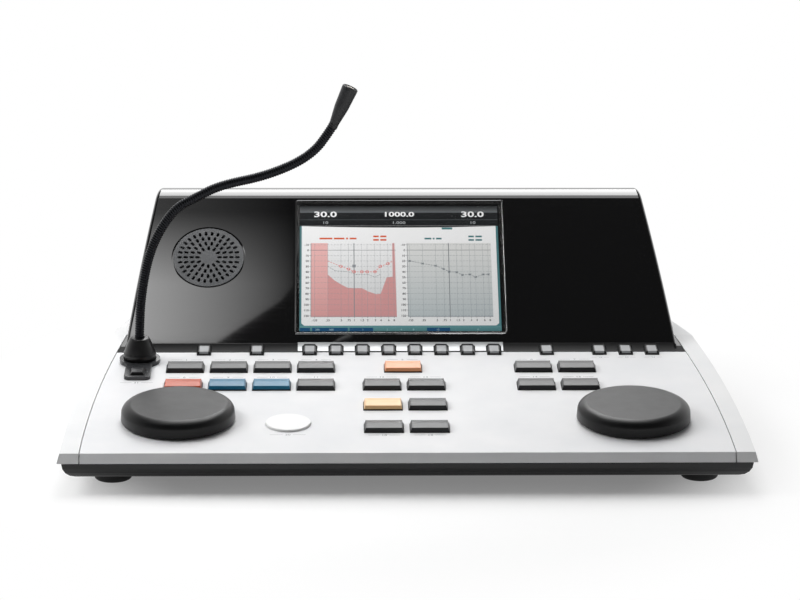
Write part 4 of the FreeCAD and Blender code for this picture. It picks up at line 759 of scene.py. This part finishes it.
def winding_tree():
    """A tube along the host's line whose wall is wound like a spring: one helical ridge a turn."""
    tree, given = tree_with("wound_tube", [
        ("Start", "NodeSocketFloat"), ("End", "NodeSocketFloat"), ("Radius", "NodeSocketFloat"),
        ("Pitch", "NodeSocketFloat"), ("Depth", "NodeSocketFloat"), ("Finish", "NodeSocketMaterial")])
    line = add(tree, "GeometryNodeMeshToCurve", {"Mesh": given["Geometry"]})
    part = add(tree, "GeometryNodeTrimCurve", {0: line.outputs[0], 4: given["Start"], 5: given["End"]},
               mode="LENGTH")
    step = maths(tree, "DIVIDE", given["Pitch"], 8.0)
    dense = add(tree, "GeometryNodeResampleCurve", {"Curve": part.outputs[0], "Length": step}, mode="LENGTH")
    upright = add(tree, "GeometryNodeSetCurveNormal", {"Curve": dense.outputs[0]}, mode="Z_UP")
    along = add(tree, "GeometryNodeCaptureAttribute", {"Geometry": upright.outputs[0]}, domain="POINT")
    along.capture_items.new("FLOAT", "Along")
    length = add(tree, "GeometryNodeSplineParameter").outputs["Length"]
    tree.links.new(maths(tree, "ADD", length, given["Start"]), along.inputs["Along"])
    circle = add(tree, "GeometryNodeCurvePrimitiveCircle", {"Resolution": 20, "Radius": given["Radius"]})
    around = add(tree, "GeometryNodeCaptureAttribute", {"Geometry": circle.outputs[0]}, domain="POINT")
    around.capture_items.new("FLOAT", "Around")
    tree.links.new(add(tree, "GeometryNodeSplineParameter").outputs["Factor"], around.inputs["Around"])
    tube = add(tree, "GeometryNodeCurveToMesh", {
        "Curve": along.outputs[0], "Profile Curve": around.outputs[0], "Fill Caps": True})
    turns = maths(tree, "DIVIDE", along.outputs["Along"], given["Pitch"])
    angle = maths(tree, "MULTIPLY", maths(tree, "ADD", turns, around.outputs["Around"]), math.tau)
    lift = maths(tree, "MULTIPLY", maths(tree, "COSINE", angle), given["Depth"])
    offset = add(tree, "ShaderNodeVectorMath", {0: add(tree, "GeometryNodeInputNormal").outputs[0],
                                                "Scale": lift}, operation="SCALE")
    wound = add(tree, "GeometryNodeSetPosition", {"Geometry": tube.outputs[0], "Offset": offset.outputs[0]})
    smooth = add(tree, "GeometryNodeSetShadeSmooth", {"Geometry": wound.outputs[0]})
    close_tree(tree, smooth.outputs[0], given["Finish"])
    return tree


def make_neck():
    """The wound neck in five lengths: two that ride on a body, and three left in place where the neck bends.
    """
    points, lengths = neck_line()

    def reached(target):
        nearest = min(range(len(points)), key=lambda i: (points[i] - target).length)
        return lengths[nearest]
    foot, middle, top = reached(NECK_FOOT), reached(NECK_MIDDLE), reached(NECK_TOP)
    tree = winding_tree()
    settings = {"Radius": 2.55 * MM, "Pitch": 1.35 * MM, "Depth": 0.15 * MM, "Finish": neck_steel}
    end = lengths[-1]
    spans = {"neck_foot": (0.0, foot + 6 * MM), "neck_lower": (foot + 6 * MM, middle - 7 * MM),
             "neck_middle": (middle - 7 * MM, middle + 7 * MM),
             "neck_upper": (middle + 7 * MM, top - 6 * MM), "neck_top": (top - 6 * MM, end)}
    made = {}
    for name, (start, stop) in spans.items():
        mesh = grown(name, points_mesh(name, points, joined=True), tree,
                     {**settings, "Start": start, "End": stop})
        made[name] = piece(name, mesh, None, neck_steel)

    def place(distance):
        index = next(i for i, length in enumerate(lengths) if length >= distance)
        return points[index]
    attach(made["neck_lower"], "gooseneck_lower")
    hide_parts("gooseneck_lower")
    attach(made["neck_upper"], "gooseneck_upper")
    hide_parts("gooseneck_upper")
    bends = (("neck_foot", "base", "gooseneck_lower", foot, 4.5),
             ("neck_middle", "gooseneck_lower", "gooseneck_upper", middle, 6.5),
             ("neck_top", "gooseneck_upper", "mic_head", top, 2.4))
    for name, below, above, centre, half in bends:
        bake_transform(made[name])


make_neck()


def ribs_tree():
    """A ring of upright ribs round each point of the host, like the knurl of a ring nut."""
    tree, given = tree_with("ribbed_ring", [
        ("Count", "NodeSocketInt"), ("Radius", "NodeSocketFloat"), ("Size", "NodeSocketVector"),
        ("Turn", "NodeSocketRotation"), ("Finish", "NodeSocketMaterial")])
    circle = add(tree, "GeometryNodeMeshCircle", {"Vertices": given["Count"], "Radius": given["Radius"]})
    rib = add(tree, "GeometryNodeMeshCube", {"Size": given["Size"]})
    outward = add(tree, "FunctionNodeAlignRotationToVector", {
        "Vector": add(tree, "GeometryNodeInputPosition").outputs[0]}, axis="X")
    ring = add(tree, "GeometryNodeInstanceOnPoints", {
        "Points": circle.outputs[0], "Instance": rib.outputs[0], "Rotation": outward.outputs[0]})
    rings = add(tree, "GeometryNodeInstanceOnPoints", {
        "Points": given["Geometry"], "Instance": ring.outputs[0], "Rotation": given["Turn"]})
    close_tree(tree, rings.outputs[0], given["Finish"])
    return tree


def beads_tree():
    """A soft bead on each point of the host."""
    tree, given = tree_with("beads", [
        ("Size", "NodeSocketVector"), ("Turn", "NodeSocketRotation"), ("Finish", "NodeSocketMaterial")])
    ball = add(tree, "GeometryNodeMeshIcoSphere", {"Radius": 0.5, "Subdivisions": 3})
    shaped = add(tree, "GeometryNodeTransform", {"Geometry": ball.outputs[0], "Scale": given["Size"]})
    smooth = add(tree, "GeometryNodeSetShadeSmooth", {"Geometry": shaped.outputs[0]})
    beads = add(tree, "GeometryNodeInstanceOnPoints", {
        "Points": given["Geometry"], "Instance": smooth.outputs[0], "Rotation": given["Turn"]})
    close_tree(tree, beads.outputs[0], given["Finish"])
    return tree


JACK_PLACES = [mm(FIRST_JACK + JACK_PITCH * n, REAR_Y, REAR_Z) for n in range(JACKS)]


def make_rear_details():
    """Nickel-plated nuts on the jacks: a knurled edge, and a turned face with a raised lip."""
    knurl = grown("jack_knurls", points_mesh("jack_points", [p + mm(0, 0.8, 0) for p in JACK_PLACES]),
                  ribs_tree(), {"Count": 36, "Radius": 7.5 * MM, "Size": tuple(mm(0.7, 0.6, 1.3)),
                                "Turn": (-math.pi / 2, 0, 0), "Finish": nickel})
    piece("jack_knurls", knurl, "base", nickel)
    profile = rounded_profile([(3.35, 1.45), (7.5, 1.45), (7.5, 2.1), (5.2, 2.5), (4.4, 1.95), (3.35, 1.95)],
                              [0, 0, 0.3, 0.2, 0, 0])
    washer = spun(profile + [profile[0]], 48)
    turned = Matrix.Rotation(-math.pi / 2, 4, "X")
    piece("jack_rings", to_mesh(washer, "jack_rings", [Matrix.Translation(p) @ turned for p in JACK_PLACES]),
          "base", nickel)


make_rear_details()


def make_boot():
    """The bell-shaped rubber sleeve: a straight band with a fine step, then a bell with a round top."""
    outside = [(2.75, 1.7), (9.1, 1.7), (9.1, 5.7), (8.95, 5.9), (8.7, 6.05)]
    for step in range(1, 15):
        share = step / 14
        # nearly conical, and a little fuller low down
        outside.append((8.7 - 2.9 * share ** 1.15, 6.05 + 7.5 * share))
    outside += [(5.55, 13.95), (5.1, 14.3), (4.4, 14.52), (3.5, 14.6), (2.75, 14.6)]
    bell = spun(outside + [outside[0]], 64)
    place = PLATE @ Matrix.Translation(mm(MIC_X, MIC_RUN, 0))
    boot = piece("boot_bell", to_mesh(bell, "boot_bell", [place]), "base", boot_rubber)
    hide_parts("mic_boot")


make_boot()


def make_dials():
    """Both knobs: an upright wall, a full soft shoulder, a flat top and the spindle below."""
    outside = [(0, -8.0), (3.0, -8.0), (3.0, 4.5), (8.5, 4.5), (8.5, 0.8), (30.1, 0.8), (30.4, 0.95),
               (30.5, 1.3)]
    for step in range(13):
        turn = math.radians(68 * step / 12)
        outside.append((30.2 - 6.8 * (1 - math.cos(turn)), 5.2 + 4.55 * math.sin(turn)))
    outside += [(25.6, 9.5), (25.2, 9.58), (24.8, 9.6), (24.4, 9.6), (0, 9.6)]
    for side, name in ((-1, "left_dial"), (1, "right_dial")):
        place = PLATE @ Matrix.Translation(mm(side * DIAL_X, DIAL_RUN, 0))
        knob = piece(f"{name}_knob", to_mesh(spun(outside), f"{name}_knob", [place]), name, dial_paint)
        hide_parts(name)


make_dials()


def make_window_rim():
    """A thin polished lip round the pane, which catches the light along its edges."""
    outer = (-60.9, 60.9, 10.75, 104.45)
    section = [(0.0, 0.0), (0.15, 0.32), (0.45, 0.4), (0.72, 0.22), (0.8, 0.0)]
    made = bmesh.new()
    loops = []
    for inset, height in section:
        left, right = outer[0] + inset, outer[1] - inset
        low, high = outer[2] + inset, outer[3] - inset
        corners = rounded_profile([(left, low), (right, low), (right, high), (left, high)],
                                  [1.6 - inset] * 4, 5)
        loops.append([made.verts.new(PANEL @ mm(x, y, height)) for x, y in corners])
    loops.append(loops[0])
    for inner, outer_loop in zip(loops, loops[1:]):
        count = len(inner)
        for i in range(count):
            quad = (inner[i], inner[(i + 1) % count], outer_loop[(i + 1) % count], outer_loop[i])
            made.faces.new(quad).smooth = True
    bmesh.ops.recalc_face_normals(made, faces=made.faces)
    piece("window_rim", to_mesh(made, "window_rim"), "base", hood_black)


make_window_rim()


COVE_RADIUS, COVE_TURN, COVE_START = 13.0, 36.9, 152.064
KEY_CLEAR, KEY_END = 4.35, 158.1


def make_function_field():
    """A silver field in the hollow under the screen, as wide as the screen and cut out round the eight
    buttons there: a painted reflection of the lit screen.
    """
    skin = 0.05
    key_end_turn = math.degrees(math.asin((KEY_END - COVE_START) / COVE_RADIUS))
    turns = [6, 8, 11, 15, 20, 24, key_end_turn, 31, 34, COVE_TURN]
    rise = COVE_RADIUS - skin
    line = [(COVE_START + rise * math.sin(math.radians(t)), COVE_RADIUS - rise * math.cos(math.radians(t)))
            for t in turns]
    slope = math.radians(COVE_TURN)
    line.append((line[-1][0] + 0.5 * math.cos(slope), line[-1][1] + 0.5 * math.sin(slope)))
    left, right = -59.1, 57.8
    sides = [left, right]
    for place in range(8):
        centre = (place - 3.5) * KEY_PITCH
        sides += [centre - KEY_CLEAR, centre + KEY_CLEAR]
    sides = sorted(x for x in sides if left <= x <= right)
    made = bmesh.new()
    grid = [[made.verts.new(PLATE @ mm(x, run, height)) for x in sides] for run, height in line]
    for row in range(len(line) - 1):
        for column in range(len(sides) - 1):
            middle = (sides[column] + sides[column + 1]) / 2
            steps = middle / KEY_PITCH - 0.5
            over_key = abs(steps - round(steps)) * KEY_PITCH < KEY_CLEAR
            if over_key and line[row + 1][0] <= KEY_END + 0.01:
                continue
            near, far = grid[row], grid[row + 1]
            made.faces.new((near[column], near[column + 1], far[column + 1], far[column])).smooth = True
    bmesh.ops.delete(made, geom=[v for v in made.verts if not v.link_faces], context="VERTS")
    # painted reflection: the pale field stands where the lit screen mirrors in the hollow
    piece("reflection_field", to_mesh(made, "reflection_field"), "base", screen_reflection_film)


make_function_field()


def make_window_bead():
    """A pale polished bead along only the pane's foot and right edge: a painted highlight in place of the
    light caught on the recess edge.
    """
    right, low, high, corner = 60.35, 10.45, 104.0, 2.2
    path = [(-60.6, low), (right - corner, low)]
    path += [(right - corner + corner * math.sin(a), low + corner - corner * math.cos(a))
             for a in (math.radians(turn) for turn in range(10, 90, 10))]
    path += [(right, low + corner), (right, high)]
    made = bmesh.new()
    rings = []
    for index, point in enumerate(path):
        here = Vector(point)
        before = Vector(path[max(index - 1, 0)])
        after = Vector(path[min(index + 1, len(path) - 1)])
        along = (after - before).normalized()
        side = Vector((along.y, -along.x))
        ring = []
        for turn in range(10):
            angle = math.tau * turn / 10
            offset = side * 0.22 * math.cos(angle)
            ring.append(made.verts.new(PANEL @ mm(here.x + offset.x, here.y + offset.y,
                                                  0.1 + 0.22 * math.sin(angle))))
        rings.append(ring)
    for near, far in zip(rings, rings[1:]):
        for turn in range(10):
            beside = (turn + 1) % 10
            made.faces.new((near[turn], near[beside], far[beside], far[turn])).smooth = True
    for end in (rings[0], rings[-1]):
        made.faces.new(end)
    bmesh.ops.recalc_face_normals(made, faces=made.faces)
    # painted highlight: a bright bead on two edges of the pane only
    piece("highlight_bead", to_mesh(made, "highlight_bead"), "base", highlight_bead_metal)


make_window_bead()


def make_head_mesh():
    """The woven steel cap in the microphone's end: a shallow dome covered with fine beads."""
    axis = Vector((9.5, 0, 21.1)).normalized()
    turn = axis.to_track_quat("Z", "Y").to_matrix().to_4x4()
    place = Matrix.Translation(NECK_TOP + axis * 24.35 * MM) @ turn
    profile = [(0, 0.35), (0.9, 0.33), (1.8, 0.26), (2.6, 0.14), (3.25, 0.0), (3.25, -0.1), (0, -0.1)]
    dome = to_mesh(spun(profile, 32), "head_mesh", [place])
    piece("head_mesh", dome, "mic_head", grille_steel)
    beads = []
    for row in range(-4, 5):
        for column in range(-4, 5):
            x, y = column * 0.72 + (row % 2) * 0.36, row * 0.62
            if math.hypot(x, y) < 2.9:
                beads.append(place @ mm(x, y, 0.33 - 0.035 * (x * x + y * y)))
    mesh = grown("head_beads", points_mesh("bead_points", beads), beads_tree(), {
        "Size": tuple(mm(0.46, 0.46, 0.3)), "Turn": (0, 0.4, 0), "Finish": nickel})
    piece("head_beads", mesh, "mic_head", nickel)


make_head_mesh()


def make_underside():
    """Grip rings under the feet."""
    groove = spun([(3.0, 0.02), (8.0, 0.02), (8.0, 0.25), (3.0, 0.25), (3.0, 0.02)], 48)
    feet = [(-155.3, -119.0), (155.3, -119.0), (-118.0, 117.5), (118.0, 117.5)]
    piece("foot_rings", to_mesh(groove, "foot_rings", [Matrix.Translation(mm(x, y, 0)) for x, y in feet]),
          "base", foot_rubber)


make_underside()


# ---- floor, light and camera ----

def make_floor():
    """A pale matt floor. Near the object it takes the shadow; farther out the camera and mirrors
    see it as plain white."""
    bpy.ops.mesh.primitive_plane_add(size=14)
    floor = bpy.context.object
    floor.name = "floor"
    material = bpy.data.materials.new("pale_floor")
    tree = emptied(material)
    matt = add(tree, "ShaderNodeBsdfDiffuse", {"Color": (0.84, 0.84, 0.84, 1)})
    ray = add(tree, "ShaderNodeLightPath").outputs
    seen = maths(tree, "MAXIMUM", ray["Is Camera Ray"], ray["Is Glossy Ray"])
    lift = add(tree, "ShaderNodeEmission", {"Color": WHITE, "Strength": maths(tree, "MULTIPLY", seen, 0.2)})
    white = add(tree, "ShaderNodeEmission", {"Color": WHITE, "Strength": 1.0})
    near = add(tree, "ShaderNodeAddShader", {0: matt.outputs[0], 1: lift.outputs[0]})
    place = add(tree, "ShaderNodeTexCoord").outputs["Object"]
    squeezed = add(tree, "ShaderNodeMapping", {"Vector": place, "Scale": (1.3, 1.0, 1.0)})
    distance = add(tree, "ShaderNodeVectorMath", {0: squeezed.outputs[0]}, operation="LENGTH")
    away = ramp(tree, distance.outputs["Value"], 0.2, 0.34, style="SMOOTHSTEP")
    ground = add(tree, "ShaderNodeMixShader", {0: maths(tree, "MULTIPLY", away, seen),
                                               1: near.outputs[0], 2: white.outputs[0]})
    add(tree, "ShaderNodeOutputMaterial", {"Surface": ground.outputs[0]})
    floor.data.materials.append(material)


def make_world():
    """White to the camera; to the object, a studio that is dim in front and overhead, and low down
    behind is the same white, so that mirrors and the pane meet it there."""
    world = bpy.data.worlds.new("studio")
    bpy.context.scene.world = world
    tree = emptied(world)
    way = add(tree, "ShaderNodeTexCoord").outputs["Generated"]
    behind = ramp(tree, component(tree, way, "Y"), -0.5, 0.5, 0.17, 1.0)
    above = ramp(tree, component(tree, way, "Z"), 0.45, 0.8, 1.0, 0.1, "SMOOTHSTEP")
    ray = add(tree, "ShaderNodeLightPath").outputs
    strength = add(tree, "ShaderNodeMix", {"Factor": ray["Is Camera Ray"],
                                           "A": maths(tree, "MULTIPLY", behind, above), "B": 1.0})
    sky = add(tree, "ShaderNodeBackground", {"Color": WHITE, "Strength": strength.outputs[0]})
    add(tree, "ShaderNodeOutputWorld", {"Surface": sky.outputs[0]})


def make_lamp(name, place, size, energy, aim=None, mirrored=True):
    """A soft rectangular lamp that shines straight down or towards a point."""
    lamp = bpy.data.lights.new(name, "AREA")
    lamp.shape, lamp.size, lamp.size_y = "RECTANGLE", *size
    lamp.energy = energy
    holder = placed(name, lamp)
    holder.location = place
    if aim:
        holder.rotation_euler = (Vector(aim) - Vector(place)).to_track_quat("-Z", "Y").to_euler()
    holder.visible_camera = False
    holder.visible_glossy = mirrored


def make_lamps():
    """A long bright softbox overhead and behind, dimmer in its front part, and a lamp from the left
    that mirrors don't see."""
    make_lamp("rear_softbox", (0.01, 0.815, 1.0), (0.62, 1.17), 12.6)
    make_lamp("front_softbox", (0.01, 0.12, 1.0), (0.62, 0.22), 0.65)
    make_lamp("left_lamp", (-0.6, 0.0, 0.58), (0.4, 0.4), 3.3, aim=(0, 0, 0), mirrored=False)


def make_side_panel():
    """A small bright panel over the left wing, fading to the right and to the rear."""
    corners = [(-420, -90), (-130, -87), (-80, -54), (-70, -42), (-68, 45), (-420, 45)]
    mesh = bpy.data.meshes.new("side_panel")
    mesh.from_pydata([mm(x, y, 650) for x, y in corners], [], [range(len(corners))[::-1]])
    panel = placed("side_panel", mesh)
    panel.visible_camera = False
    material = bpy.data.materials.new("panel_light")
    tree = emptied(material)
    way = add(tree, "ShaderNodeTexCoord").outputs["Object"]
    across = ramp(tree, component(tree, way, "X"), -0.19, -0.066, 1.0, 0.04)
    back = ramp(tree, component(tree, way, "Y"), -0.04, 0.015, 1.0, 0.13)
    level = maths(tree, "MULTIPLY", maths(tree, "MULTIPLY", across, back), 3.3)
    lit = add(tree, "ShaderNodeEmission", {"Color": WHITE, "Strength": level})
    add(tree, "ShaderNodeOutputMaterial", {"Surface": lit.outputs[0]})
    mesh.materials.append(material)


def make_camera():
    """A long lens from the front, a little left of the middle and above."""
    turn, dip, roll = (math.radians(a) for a in (-1.38, 14.58, 0.25))
    forward = Vector((-math.sin(turn) * math.cos(dip), math.cos(turn) * math.cos(dip), -math.sin(dip)))
    level = Vector((math.cos(turn), math.sin(turn), 0))
    up = level.cross(forward)
    right = level * math.cos(roll) + up * math.sin(roll)
    top = up * math.cos(roll) - level * math.sin(roll)
    data = bpy.data.cameras.new("camera")
    sensor, pixels_wide = 36, 800
    data.sensor_width = sensor
    data.lens = 2959.5 * sensor / pixels_wide
    data.shift_x, data.shift_y = -2.03 / pixels_wide, 47.98 / pixels_wide
    camera = placed("camera", data)
    axes = Matrix((right, top, -forward)).transposed().to_4x4()
    camera.matrix_world = Matrix.Translation(mm(-39.08, -1619.89, 461.44)) @ axes
    bpy.context.scene.camera = camera


make_floor()
make_world()
make_lamps()
make_side_panel()
make_camera()
bpy.context.scene.view_settings.view_transform = "Standard"
